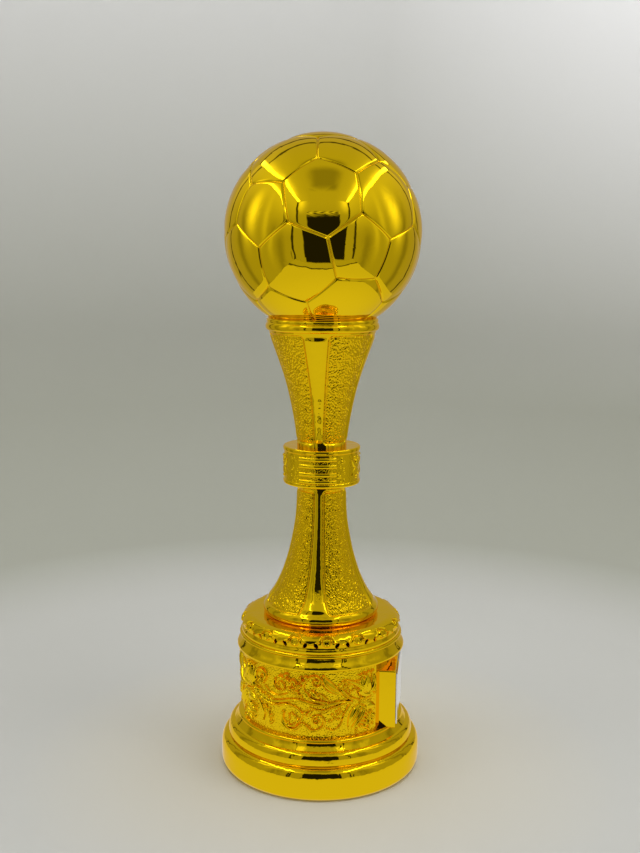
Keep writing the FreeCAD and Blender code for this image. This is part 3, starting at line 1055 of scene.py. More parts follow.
@dataclass
class BaseSteps:
    """Two stepped mouldings and the round foot under the band."""

    band_bottom: float = 28.0
    split: float = 23.1
    foot_top: float = 15.9
    recess: float = 49.4

    def upper(self) -> Array:
        """Outline of the upper step."""
        return join(natural_spline([(45.9, self.split), (45.2, self.split + 0.9), (44.3, self.split + 2.1),
                                    (43.7, self.split + 3.1)], 0.2),
                    natural_spline([(43.7, self.split + 3.1), (44.0, self.split + 3.8),
                                    (43.6, self.split + 4.5),
                                    (42.4, self.band_bottom)], 0.12))

    def lower(self) -> Array:
        """Outline of the lower step."""
        return natural_spline([(48.7, self.foot_top), (49.2, self.foot_top + 0.9),
                               (49.15, self.foot_top + 2.8),
                               (48.8, self.foot_top + 4.5), (48.0, self.foot_top + 6.0), (47.0,
                                                                                          self.foot_top + 6.8),
                               (45.9, self.split)], 0.2)

    def foot(self) -> Array:
        """Outline of the foot, from the table up."""
        return natural_spline([(51.4, 0.0), (52.6, 1.4), (53.05, 4.0), (53.08, 7.5), (52.95, 10.8),
                               (52.5, 12.8),
                               (51.6, 14.4), (50.3, 15.4), (48.7, self.foot_top)], 0.2)

    def build(self, finishes: Finishes) -> None:
        """Makes and dresses the three pieces."""
        gold = finishes.get(MIRROR_GOLD)
        upper = Turned("upper_step", self.upper(), [(38.4, self.band_bottom + 1.3), (36.6, self.band_bottom),
                                                    (36.6, self.split)], steps=384)
        lower = Turned("lower_step", self.lower(), [(39.0, self.split), (39.0, self.foot_top)], steps=384)
        foot = Turned("foot_visual", self.foot(), [(40.0, self.foot_top), (40.0, 11.8), (self.recess, 9.0),
                                                   (self.recess, 0.0)], steps=384)
        dress(upper.build(), gold, Slot.GOLD, "upper_step_moulding")
        dress(lower.build(), gold, Slot.GOLD, "lower_step_moulding")
        dress(foot.build(), gold, Slot.GOLD, "foot")


@dataclass
class FeltPad:
    """Round felt disc in the recess of the foot."""

    radius: float = 49.0
    thick: float = 1.5

    def build(self, finishes: Finishes) -> None:
        """Makes and dresses the disc."""
        edge = natural_spline([(self.radius - 0.5, 0.0), (self.radius - 0.1, 0.25), (self.radius, 0.75),
                               (self.radius - 0.1, 1.3), (self.radius - 0.4, self.thick)], 0.1)
        disc = Turned("felt_disc", edge, [(0.02, self.thick), (0.02, 0.0)], steps=192)
        dress(disc.build(), finishes.get(BLACK_FELT), Slot.FELT, "felt_pad")


@dataclass
class Drum:
    """Plain tube behind the band, seen over the tablet."""

    radius: float = 38.5
    bore: float = 36.0
    low: float = 15.9
    high: float = 63.8

    def build(self, finishes: Finishes) -> None:
        """Makes and dresses the tube."""
        skin = straight([(self.radius, self.low), (self.radius, self.high)], 2.0)
        drum = Turned("drum", skin, [(self.bore, self.high), (self.bore, self.low)], steps=360)
        dress(drum.build(), finishes.get(MIRROR_GOLD), Slot.GOLD, "base_drum")


@dataclass
class NameTablet:
    """Flat-faced block on the +X side, with a blank plate.

    Attributes:
        back: where the block starts, inside the drum.
        face: plane of the block's face.
        half: half width.
        low: bottom of the block.
        high: top of the block.
        corner: radius of the upright edges seen from the front.
        ease: rounding of the edges of the face.
    """

    back: float = 29.0
    face: float = 41.7
    half: float = 22.1
    low: float = 27.0
    high: float = 58.1
    corner: float = 0.8
    ease: float = 0.45

    def loop(self, x: float, inset: float, corner: float) -> Array:
        """Rounded rectangle in the plane x, shrunk by an inset."""
        half, mid = self.half - inset, (self.low + self.high) / 2.0
        tall = (self.high - self.low) / 2.0 - inset
        points = []
        for quarter, (sy, sz) in enumerate(((1, 1), (-1, 1), (-1, -1), (1, -1))):
            for angle in np.radians(np.linspace(0, 90, 9) + 90 * quarter):
                points.append((x, sy * (half - corner) + corner * math.cos(angle),
                               mid + sz * (tall - corner) + corner * math.sin(angle)))
        return np.array(points)

    def shoulders(self, first: int) -> tuple[Array, list[list[int]]]:
        """Upright corner pieces that fill the gaps between the block and the ends of the band.

        Args:
            first: index of the first new vertex.

        Returns:
            Vertices, and faces that index them.
        """
        verts, faces = [], []
        plan = ((29.0, -24.3), (31.9, -26.35), (32.25, -24.6), (32.9, -22.9), (33.4, -21.9), (29.0, -21.9))
        for side in (1, -1):
            start = first + len(verts)
            count = len(plan)
            for z in (self.low, self.high):
                verts += [(x, side * y, z) for x, y in plan]
            for k in range(count):
                on = (k + 1) % count
                face = [start + k, start + on, start + count + on, start + count + k]
                faces.append(face[::side])
            faces.append([start + k for k in range(count)][::-side])
            faces.append([start + count + k for k in range(count)][::side])
        return np.array(verts), faces

    def slab(self, name: str, sections: Sequence[tuple[float, float, float]],
             corners: bool) -> bpy.types.Object:
        """Closed block through (x, inset, corner) sections, with its corner pieces if wanted."""
        loops = [self.loop(*section) for section in sections]
        count = len(loops[0])
        quads = grid_quads(len(loops), count, False, True)
        caps = [list(range(count))[::-1], [(len(loops) - 1) * count + k for k in range(count)]]
        verts = np.vstack(loops)
        if corners:
            extra, faces = self.shoulders(len(verts))
            verts, caps = np.vstack([verts, extra]), caps + faces
        made = mesh_object(name, verts, quads, caps)
        made.data.set_sharp_from_angle(angle=math.radians(40))
        return made

    def build(self, finishes: Finishes) -> None:
        """Makes and dresses the block and the plate."""
        ease = [(self.face - self.ease * (1 - math.sin(t)), self.ease * (1 - math.cos(t)), self.corner)
                for t in np.radians(np.linspace(0, 90, 6))]
        block = self.slab("name_block", [(self.back, 0.0, self.corner)] + ease, True)
        plate = self.slab("blank_plate", [(self.face + 0.2, 1.6, 0.6), (self.face + 0.7, 1.6, 0.6),
                                          (self.face + 0.8, 1.7, 0.5)], False)
        dress(block, finishes.get(MIRROR_GOLD), Slot.GOLD, "name_tablet")
        dress(plate, finishes.get(SATIN_SILVER), Slot.SILVER, "name_plate")


# ---------------------------------------------------------------- scroll band
@dataclass
class Chasing:
    """Raised ornament drawn on an unrolled band and repeated along it.

    Attributes:
        u: distance along the band for each column.
        v: height for each row.
        shifts: where the repeats of the drawing start.
    """

    u: Array
    v: Array
    shifts: Sequence[float]
    bold: float = 1.28
    lift: float = 1.95
    high: Array = field(init=False)

    def __post_init__(self) -> None:
        """Starts flat."""
        self.high = np.zeros((len(self.v), len(self.u)))

    def draw(self, low: Array, high: Array, shape: Callable[[Array, Array], Array]) -> None:
        """Raises every repeat of a shape that lies between two corners."""
        rows = np.flatnonzero((self.v >= low[1]) & (self.v <= high[1]))
        for shift in self.shifts:
            cols = np.flatnonzero((self.u - shift >= low[0]) & (self.u - shift <= high[0]))
            if len(rows) and len(cols):
                uu, vv = np.meshgrid(self.u[cols] - shift, self.v[rows])
                spot = np.ix_(rows, cols)
                self.high[spot] = np.maximum(self.high[spot], shape(uu, vv))

    @staticmethod
    def nearest(path: Array, uu: Array, vv: Array) -> tuple[Array, Array]:
        """Signed distance to a path and the share of its length at the nearest point."""
        du = uu[..., None] - path[:, 0]
        dv = vv[..., None] - path[:, 1]
        square = du * du + dv * dv
        at = square.argmin(-1)
        step = np.gradient(path, axis=0)
        step /= np.hypot(step[:, 0], step[:, 1])[:, None]
        pick_u = np.take_along_axis(du, at[..., None], -1)[..., 0]
        pick_v = np.take_along_axis(dv, at[..., None], -1)[..., 0]
        side = np.sign(step[at, 0] * pick_v - step[at, 1] * pick_u + 1e-9)
        return side * np.hypot(pick_u, pick_v), at / (len(path) - 1)

    def cord(self, points: Sequence[tuple[float, float]], width: float, height: float, taper: float = 0.5,
             bound: bool = True) -> None:
        """Half-round stem along a smooth path, thinner towards its far end."""
        path = natural_spline(points, 0.3) if bound else np.asarray(points, float)
        width, height = width * self.bold, height * self.lift

        def shape(uu: Array, vv: Array) -> Array:
            """Height of the form at each place."""
            gap, share = self.nearest(path, uu, vv)
            wide = width * (1.0 - taper * share)
            return height * (1.0 - 0.35 * taper * share) * mound(gap, wide)

        self.draw(path.min(0) - width, path.max(0) + width, shape)

    def spiral(self, centre: tuple[float, float], outer: float, inner: float, start: float, turn: float,
               width: float, height: float) -> None:
        """Volute that winds in from an angle, ending in a bead."""
        angle = np.radians(np.linspace(start, start + turn, int(abs(turn) / 6) + 2))
        reach = np.linspace(1.0, 0.0, len(angle)) ** 1.25 * (outer - inner) + inner
        path = np.stack([centre[0] + reach * np.cos(angle), centre[1] + reach * np.sin(angle)], 1)
        self.cord(path.tolist(), width, height, 0.45, False)
        self.bead(float(path[-1, 0]), float(path[-1, 1]), width * 1.25, height * 1.15)

    def leaf(self, points: Sequence[tuple[float, float]], width: float, height: float, ribs: float = 0.0,
             vein: float = 0.35, fullest: float = 0.6) -> None:
        """Pointed blade along a smooth path, with a sunk middle vein and side ribs."""
        path = natural_spline(points, 0.3)
        width, height = width * self.bold, min(height * self.lift, 2.7)

        def shape(uu: Array, vv: Array) -> Array:
            """Height of the form at each place."""
            gap, share = self.nearest(path, uu, vv)
            wide = width * np.sin(math.pi * np.clip(share, 0.015, 0.985) ** fullest) + 1e-6
            rise = (0.35 + 0.65 * np.sin(math.pi * np.clip(share, 0.0, 1.0) ** 0.8)) * height
            body = rise * mound(gap, wide) ** 0.9
            body -= vein * rise * np.exp(-(gap / (0.16 * width + 0.10)) ** 2)
            if ribs:
                body += 0.16 * rise * np.cos(2 * math.pi * (share * ribs - 0.8 * np.abs(gap) / wide))
            return np.where(np.abs(gap) < wide, body, 0.0)

        self.draw(path.min(0) - width, path.max(0) + width, shape)

    def frond(self, points: Sequence[tuple[float, float]], lobes: int, reach: float, width: float,
              height: float,
              sides: Sequence[int] = (1, -1), lean: float = 50.0) -> None:
        """Feathery leaf: a spine with leaning lobes that shorten towards the tip."""
        spine = natural_spline(points, 0.3)
        step = np.gradient(spine, axis=0)
        for k in range(lobes):
            share = (k + 0.6) / (lobes + 0.2)
            at = int(share * (len(spine) - 1))
            ahead = math.atan2(step[at, 1], step[at, 0])
            long = reach * (0.55 + 0.45 * math.sin(math.pi * share ** 0.7)) * (1.0 - 0.35 * share)
            for side in sides:
                turn = ahead + math.radians(lean) * side
                bend = turn - math.radians(24.0) * side
                p0 = spine[at]
                p1 = p0 + 0.55 * long * np.array([math.cos(turn), math.sin(turn)])
                p2 = p1 + 0.5 * long * np.array([math.cos(bend), math.sin(bend)])
                self.leaf([tuple(p0), tuple(p1), tuple(p2)], width, height, vein=0.25)
        self.leaf([tuple(spine[int(0.78 * (len(spine) - 1))]), tuple(spine[-1])], width * 1.1, height)
        self.cord([tuple(p) for p in spine[:: max(1, len(spine) // 6)]], width * 0.55, height * 1.05, 0.6)

    def bead(self, u: float, v: float, radius: float, height: float) -> None:
        """Round bead."""
        height = height * 1.2
        self.draw(np.array([u - radius, v - radius]), np.array([u + radius, v + radius]),
                  lambda uu, vv: height * mound(np.hypot(uu - u, vv - v), radius))

    def berries(self, spots: Sequence[tuple[float, float]], radius: float, height: float) -> None:
        """Cluster of beads."""
        for k, (u, v) in enumerate(spots):
            self.bead(u, v, radius * (0.85 + 0.3 * ((k * 7) % 5) / 4.0), height)


@dataclass
class ScrollBand:
    """Chased sleeve round the drum, open where the tablet stands.

    Attributes:
        ground: radius of the stippled ground.
        low: bottom edge.
        high: top edge.
        open_at: azimuth where the sleeve ends, on the front side of the tablet.
        unit: length of one repeat.
        repeats: number of repeats.
    """

    ground: float = 41.3
    low: float = 28.0
    high: float = 63.8
    open_at: float = 50.5
    unit: float = 67.5
    repeats: int = 3
    columns: int = 1260

    def ornament(self, art: Chasing) -> None:
        """Scrolls, leaves, flowers and berries of one repeat, in millimetres along the sleeve and up it."""
        # main stem and its branches
        art.cord([(-20.0, 45.2), (-14.5, 46.4), (-7.0, 48.0), (0.5, 46.6), (6.0, 46.0), (13.0, 47.2),
                  (20.5, 46.9)],
                 0.85, 0.95, 0.15)
        art.cord([(21.0, 46.4), (15.0, 45.6), (9.5, 43.7), (4.5, 43.2), (0.0, 44.4)], 0.7, 0.85, 0.4)
        art.cord([(19.8, 44.8), (17.3, 40.4), (15.4, 35.2), (11.6, 32.6), (8.2, 33.6)], 0.65, 0.8, 0.45)
        # large feather leaf, its tip standing clear of the band
        for off, long in ((0.0, 1.0), (1.9, 0.85), (-1.9, 0.9)):
            art.leaf([(-35.0 + off * 0.3, 49.6 + off * 0.7), (-40.6 + off * 0.5, 53.2 + off * 0.8),
                      (-45.2 * long, 56.4 + off * 0.9), (-50.5 * long - 1.0,
                                                         59.0 + off * 0.6)], 1.5, 1.9, 0, 0.15)
        art.leaf([(-17.0, 44.4), (-23.0, 44.9), (-28.4, 46.8), (-32.6, 49.6), (-37.0, 52.6)], 2.0, 1.9, 9,
                 0.3)
        art.frond([(-18.0, 44.4), (-24.0, 45.3), (-30.4, 48.2), (-35.6, 52.2)], 4, 4.0, 1.0, 1.4, (-1,), 34.0)
        # volute with an inner leaf
        art.spiral((-27.4, 56.4), 4.9, 1.9, -150.0, -330.0, 0.75, 1.1)
        art.leaf([(-27.9, 52.2), (-26.6, 54.6), (-24.4, 56.6)], 1.2, 1.4, 4)
        art.leaf([(-28.8, 55.0), (-28.0, 57.8), (-25.9, 59.4)], 0.9, 1.2)
        art.cord([(-25.0, 51.6), (-21.8, 49.4), (-17.0, 48.8), (-12.0, 50.6)], 0.6, 0.8, 0.5)
        # curl and feathery leaves
        art.spiral((-15.7, 54.6), 3.9, 1.1, 140.0, 430.0, 0.7, 1.05)
        art.frond([(-15.8, 59.6), (-12.0, 59.0), (-8.6, 56.4), (-5.6, 53.0)], 3, 4.0, 1.05, 1.5, (1, -1),
                  44.0)
        art.frond([(-7.2, 53.4), (-6.2, 56.6), (-3.6, 58.8), (-0.4, 60.4)], 3, 3.8, 1.0, 1.5, (1, -1), 46.0)
        art.leaf([(-13.0, 52.4), (-9.6, 52.8), (-5.6, 50.6), (-2.8, 48.4)], 1.45, 1.3, 5)
        # open scroll with a curl
        art.cord([(8.2, 47.4), (2.2, 48.6), (-2.2, 51.8), (-3.4, 55.8), (-1.2, 59.6), (2.6, 61.0),
                  (5.8, 58.6)],
                 0.75, 1.0, 0.1)
        art.spiral((3.0, 58.0), 2.9, 0.9, 10.0, -320.0, 0.6, 1.2)
        art.leaf([(-2.6, 52.8), (-1.0, 50.6), (1.2, 48.6)], 0.95, 1.25)
        art.leaf([(-0.4, 53.6), (2.6, 51.4), (5.6, 48.6)], 1.15, 1.4)
        art.leaf([(4.0, 52.0), (7.0, 49.8), (10.2, 47.6)], 0.95, 1.2)
        art.leaf([(6.6, 60.6), (8.2, 57.4), (12.2, 53.6), (16.6, 50.4)], 2.1, 1.3, 0, 0.5, 0.75)
        art.bead(6.6, 60.9, 0.95, 1.5)
        # berries and a small leaf on a curved stem
        art.berries([(14.6, 56.0), (16.2, 57.4), (18.1, 56.8), (17.2, 55.0), (19.5, 55.2), (18.8, 53.4),
                     (20.6, 52.0)],
                    1.0, 1.15)
        art.leaf([(15.0, 54.2), (18.4, 50.4), (22.6, 47.8), (26.4, 47.2)], 1.1, 1.4)
        art.cord([(25.8, 46.8), (28.4, 48.0), (30.0, 50.2)], 0.75, 0.95, 0.2)
        # tulip with a jagged crown
        art.leaf([(29.8, 49.2), (26.6, 52.4), (26.4, 56.6), (28.0, 60.4)], 1.6, 1.35, 0, 0.25, 0.7)
        art.leaf([(30.0, 49.2), (33.2, 52.2), (33.8, 56.4), (32.4, 60.4)], 1.6, 1.35, 0, 0.25, 0.7)
        art.leaf([(30.0, 49.0), (30.2, 54.0), (30.2, 60.0)], 2.4, 1.15, 0, 0.15, 0.65)
        for k in range(6):
            art.bead(26.6 + 1.45 * k, 60.2 + 0.55 * (k % 2), 0.72, 1.45)
        art.berries([(23.0, 54.4), (24.6, 55.6), (22.0, 52.8), (24.0, 52.6), (25.6, 53.6)], 0.8, 1.25)
        art.leaf([(29.0, 48.2), (31.6, 50.4), (34.6, 49.2)], 0.9, 1.2)
        for k in range(5):
            art.leaf([(25.0 + 0.4 * k, 45.4 - 0.3 * k), (29.6 + 0.9 * k, 46.4 - 1.0 * k),
                      (33.6 + 0.3 * k, 47.6 - 1.9 * k)], 0.7, 0.85)
        # lower round scroll, wave and second scroll
        art.cord([(-16.6, 43.6), (-13.4, 44.9), (-9.4, 44.6), (-5.4, 42.8), (-4.2, 39.6), (-6.0, 36.6)], 0.7,
                 0.9, 0.2)
        art.spiral((-9.4, 37.9), 5.3, 1.3, 150.0, 400.0, 0.75, 1.0)
        art.cord([(-14.4, 35.4), (-11.2, 32.4), (-7.4, 32.6), (-3.6, 35.8), (-0.6, 33.2), (3.2, 32.6),
                  (6.6, 34.8)],
                 0.75, 0.95, 0.15)
        art.spiral((3.4, 37.6), 4.0, 1.0, -40.0, 380.0, 0.7, 1.05)
        art.berries([(-10.8, 39.8), (-9.2, 40.6), (-11.2, 35.4), (-8.0, 35.2), (3.0, 38.6), (4.6, 37.4),
                     (-0.2, 34.6)],
                    0.75, 1.3)
        art.leaf([(-4.4, 40.0), (-2.6, 41.6), (-0.6, 43.4)], 0.85, 1.25)
        art.leaf([(-1.6, 39.6), (0.0, 41.8), (2.4, 43.6)], 0.9, 1.0)
        art.leaf([(5.4, 41.6), (8.2, 42.8), (11.0, 44.2)], 0.9, 0.9)
        # berries on the right
        art.berries([(13.2, 42.2), (14.8, 43.4), (15.6, 41.6), (14.0, 40.4), (12.4, 38.6), (14.4, 38.2),
                     (11.2, 40.6),
                     (10.2, 37.4)], 0.95, 1.35)
        # long ribbed leaves and the seed heads beside them
        art.leaf([(26.4, 45.0), (23.4, 41.2), (20.8, 36.4), (19.4, 30.8)], 2.1, 1.25, 0, 0.55, 0.7)
        art.leaf([(29.0, 43.6), (26.8, 39.4), (23.2, 34.4), (20.6, 29.6)], 1.5, 1.2, 0, 0.5, 0.7)
        art.leaf([(31.2, 36.8), (29.6, 33.4), (27.6, 30.6)], 0.85, 1.05)
        art.berries([(28.4, 41.4), (29.4, 39.6), (28.0, 38.2), (25.4, 36.6), (24.4, 34.8), (25.6, 33.4),
                     (24.0, 31.4),
                     (24.6, 29.4), (30.4, 42.2)], 0.9, 1.3)
        # rosette with a ribbed patch
        for k in range(6):
            turn = math.radians(60 * k + 15)
            art.leaf([(-35.2, 36.6), (-35.2 + 3.4 * math.cos(turn), 36.6 + 3.4 * math.sin(turn))], 1.05, 1.25)
        art.bead(-35.2, 36.6, 1.1, 1.6)
        art.leaf([(-38.8, 42.6), (-35.6, 42.2), (-31.4, 41.4)], 2.0, 1.0, 0, 0.1)
        art.berries([(-31.6, 39.6), (-30.6, 38.0), (-37.6, 33.4), (-36.0, 31.8), (-33.6, 32.4)], 0.8, 1.2)
        for k in range(7):
            art.cord([(-41.4, 45.4 - 2.1 * k), (-38.6, 44.2 - 2.1 * k), (-37.4 + 0.2 * k, 42.0 - 2.0 * k)],
                     0.75, 0.75,
                     0.3)
        art.cord([(-30.4, 44.8), (-27.6, 41.4), (-25.8, 37.0), (-26.6, 33.2)], 0.65, 0.75, 0.4)
        art.frond([(-25.2, 41.6), (-22.4, 38.6), (-21.2, 35.0), (-21.6, 31.6)], 3, 2.8, 0.7, 0.9, (1, -1),
                  42.0)

    def skin(self) -> Array:
        """Outside of the sleeve without ornament."""
        mid = (self.low + self.high) / 2.0
        return straight([(self.ground - 0.1, self.low), (self.ground, self.low + 4.0),
                         (self.ground + 0.15, mid),
                         (self.ground, self.high - 4.0), (self.ground - 0.1, self.high)], 0.17)

    def relief(self, azimuth: Array, along: Array) -> Array:
        """Height of the ornament and of the stippled ground."""
        u = (azimuth[0] - 360.0) * math.pi / 180.0 * self.ground
        heights = np.interp(along[:, 0], self.lengths(), self.skin()[:, 1])
        art = Chasing(u, heights, [-self.unit * k for k in range(-1, self.repeats + 1)])
        self.ornament(art)
        gap, pick = pebbles(azimuth * math.pi / 180.0 * self.ground, along, 0.95, 21)
        stipple = 0.2 * (0.4 + 0.6 * pick) * (1.0 - np.clip(gap / 0.6, 0, 1) ** 2)
        inner = smooth(self.low - 0.1, self.low + 0.9, heights) * smooth(self.high - 0.1, self.high - 0.9,
                                                                         heights)
        ends = smooth(0.4, 1.6, self.open_at * math.pi / 180.0 * self.ground - u)
        start = self.open_at * math.pi / 180.0 * self.ground - self.unit * self.repeats
        ends = ends * smooth(0.4, 1.6, u - start)
        flat = np.where(art.high > 0.05, 0.0, stipple)
        return (art.high + flat) * (inner[:, None] * ends[None, :])

    def lengths(self) -> Array:
        """Distance along the skin of each of its points."""
        return np.concatenate([[0.0], np.cumsum(np.hypot(*np.diff(self.skin(), axis=0).T))])

    def build(self, finishes: Finishes) -> None:
        """Makes and dresses the sleeve."""
        sweep = self.unit * self.repeats / self.ground * 180.0 / math.pi
        sleeve = Turned("scroll_sleeve", self.skin(), [(38.6, self.high), (38.6, self.low)],
                        steps=self.columns,
                        start=360.0 + self.open_at - sweep, sweep=sweep, relief=self.relief)
        dress(sleeve.build(), finishes.get(STIPPLED_GOLD), Slot.GOLD, "scroll_band")


# ------------------------------------------------------------ inner pieces
INNER = {
    "ball_thread_insert": (TURNED_BRASS, Slot.BRASS), "ball_gasket": (DARK_RUBBER, Slot.RUBBER),
    "stem_top_plate": (ZINC_STEEL, Slot.ZINC), "collar_sleeve": (ZINC_STEEL, Slot.ZINC),
    "plate_adhesive": (FOAM_TAPE, Slot.TAPE), "ballast_weight": (CAST_IRON, Slot.IRON),
    "tie_rod": (ZINC_STEEL, Slot.ZINC), "clamp_washer": (ZINC_STEEL, Slot.ZINC),
    "lock_washer": (ZINC_STEEL, Slot.ZINC), "clamp_nut": (ZINC_STEEL, Slot.ZINC),
    "base_cover": (PRESSED_BOARD, Slot.BOARD), "cover_screw_a": (ZINC_STEEL, Slot.ZINC),
    "cover_screw_b": (ZINC_STEEL, Slot.ZINC), "cover_screw_c": (ZINC_STEEL, Slot.ZINC),
}


def dress_inner(finishes: Finishes) -> None:
    """Gives the solids that stay as they are their finishes."""
    for name, (finish, _) in INNER.items():
        solid = bpy.data.objects[name]
        solid.data.materials.clear()
        solid.data.materials.append(finishes.get(finish))


# --------------------------------------------------------------------- studio
@dataclass
class Tent:
    """White soft box round the trophy that only its polish sees.

    Attributes:
        half: half width.
        front: distance of the front wall.
        rear: distance of the rear wall.
        tall: height of the ceiling.
        step: spacing of the samples of brightness.
    """

    half: float = 0.31
    front: float = 0.46
    rear: float = 0.33
    tall: float = 0.60
    step: float = 0.006

    def wall(self, origin: Sequence[float], along: Sequence[float], up: Sequence[float],
             glow: Callable[[Array, Array, Array], Array]) -> tuple[Array, Array, Array]:
        """Positions, quads and brightness of one wall."""
        origin, along, up = (np.asarray(v, float) for v in (origin, along, up))
        cols = int(np.linalg.norm(along) / self.step) + 1
        rows = int(np.linalg.norm(up) / self.step) + 1
        a, b = np.meshgrid(np.linspace(0, 1, cols), np.linspace(0, 1, rows))
        place = origin + a[..., None] * along + b[..., None] * up
        bright = glow(place[..., 0], place[..., 1], place[..., 2])
        return place.reshape(-1, 3), grid_quads(rows, cols, False, False), bright.reshape(-1)

    @staticmethod
    def line(value: Array, centre: float, half: float) -> Array:
        """1 on a line, 0 away from it."""
        return smooth(half * 1.5, half * 0.6, np.abs(value - centre))

    def ceiling(self, x: Array, y: Array, z: Array) -> Array:
        """Even cloth with a light bar at each side."""
        base = 0.44 + 0.12 * smooth(0.10, 0.28, np.abs(x))
        base += 0.55 * np.exp(-((np.abs(x) - 0.27) / 0.035) ** 2) * smooth(-0.46, -0.2,
                                                                           -np.abs(y + 0.1) * 1.4)
        base -= 0.20 * smooth(0.13, 0.05, np.abs(x - 0.01)) * smooth(-0.34, -0.26, y) * smooth(-0.04, -0.12,
                                                                                               y)
        base *= 1.0 - 0.85 * self.line(y, 0.16, 0.012) - 0.85 * self.line(y, self.rear - 0.015, 0.022)
        bar = self.line(np.abs(x), 0.284, 0.017) * smooth(-0.45, -0.44, y) * smooth(0.30, 0.29, y)
        lamps = 0.75 + 0.25 * np.sign(np.sin(y * 2 * math.pi / 0.022)) * np.sign(np.sin(x * 2 * math.pi / 0.018))
        return base * (1.0 - 0.6 * smooth(0.303, 0.308, np.abs(x))) + 4.2 * bar * lamps

    def floor(self, x: Array, y: Array, z: Array) -> Array:
        """Pale sheet that ends before the front wall."""
        sheet = 0.66 - 0.08 * smooth(0.05, 0.35, np.hypot(x, y))
        mixed = np.where(y < -0.35, 0.40, sheet)
        return mixed * (1.0 - 0.9 * self.line(y, -0.352, 0.008))

    def side(self, x: Array, y: Array, z: Array) -> Array:
        """Side walls, brighter below the light bars, with a few soft folds."""
        base = 0.36 + 0.26 * smooth(0.25, self.tall, z)
        base += 0.75 * np.exp(-((y + 0.03) / 0.045) ** 2 - ((z - 0.38) / 0.10) ** 2)
        base += 0.20 * np.exp(-((y + 0.16) / 0.03) ** 2 - ((z - 0.33) / 0.16) ** 2)
        base -= 0.14 * np.exp(-((y - 0.06) / 0.03) ** 2) * smooth(0.5, 0.3, z)
        base -= 0.12 * np.exp(-((y + 0.27) / 0.05) ** 2) * smooth(0.4, 0.2, z)
        return base * (1.0 - 0.85 * self.line(y, 0.23, 0.012)) * (1.0 - 0.9 * self.line(y,
                                                                                        -self.front + 0.007, 0.012))

    def back(self, x: Array, y: Array, z: Array) -> Array:
        """Rear cloth."""
        return 0.42 + 0.0 * x

    def opening(self, x: Array, y: Array, z: Array) -> Array:
        """Front cloth with the flap that the trophy is seen through."""
        base = 0.36 + 0.08 * smooth(0.30, self.tall, z)
        base += 0.6 * np.exp(-((np.abs(x) - 0.25) / 0.06) ** 2) * smooth(0.40, 0.58, z)
        base *= 1.0 - 0.92 * self.line(np.abs(x), self.half - 0.006, 0.012)
        gap = smooth(-0.170, -0.162, x) * smooth(0.184, 0.176, x) * smooth(0.464, 0.456, z) * smooth(0.008,
                                                                                                     0.014, z)
        patch = 0.5 + 0.5 * np.sin(x * 60.0 + 3.0 * np.sin(z * 90.0)) * np.sin(z * 110.0 + x * 25.0)
        lit = 0.75 * smooth(0.385, 0.44, z) * patch + 0.012
        return base * (1.0 - gap) + gap * lit

    def build(self) -> bpy.types.Object:
        """Makes the box, turned to face the camera."""
        w, f, r, t = self.half, self.front, self.rear, self.tall
        deep = f + r
        walls = [self.wall((-w, -f, t), (0, deep, 0), (2 * w, 0, 0), self.ceiling),
                 self.wall((-w, -f, -0.0006), (2 * w, 0, 0), (0, deep, 0), self.floor),
                 self.wall((-w, -f, 0), (0, deep, 0), (0, 0, t), self.side),
                 self.wall((w, r, 0), (0, -deep, 0), (0, 0, t), self.side),
                 self.wall((-w, r, 0), (2 * w, 0, 0), (0, 0, t), self.back),
                 self.wall((w, -f, 0), (-2 * w, 0, 0), (0, 0, t), self.opening)]
        verts, quads, glow, total = [], [], [], 0
        for points, faces, bright in walls:
            verts.append(points / MM)
            quads.append(faces + total)
            glow.append(bright)
            total += len(points)
        tent = mesh_object("tent", np.vstack(verts), np.vstack(quads))
        colour_layer(tent, "glow", np.concatenate(glow))
        tent.data.materials.append(self.material())
        tent.rotation_euler = (0.0, 0.0, math.radians(SHOT_AZIMUTH))
        tent.visible_camera = tent.visible_diffuse = tent.visible_shadow = tent.visible_transmission = False
        tent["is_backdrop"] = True
        return tent

    @staticmethod
    def material() -> bpy.types.Material:
        """Cloth that gives off the light stored on it."""
        material, tree, shader = blank_material("tent_cloth")
        glow = add(tree, "Attribute", {"attribute_name": "glow"}).outputs["Fac"]
        shader.inputs["Base Color"].default_value = (0.0, 0.0, 0.0, 1.0)
        shader.inputs["Specular IOR Level"].default_value = 0.0
        shader.inputs["Emission Color"].default_value = (1.0, 0.985, 0.93, 1.0)
        tree.links.new(glow, shader.inputs["Emission Strength"])
        return material


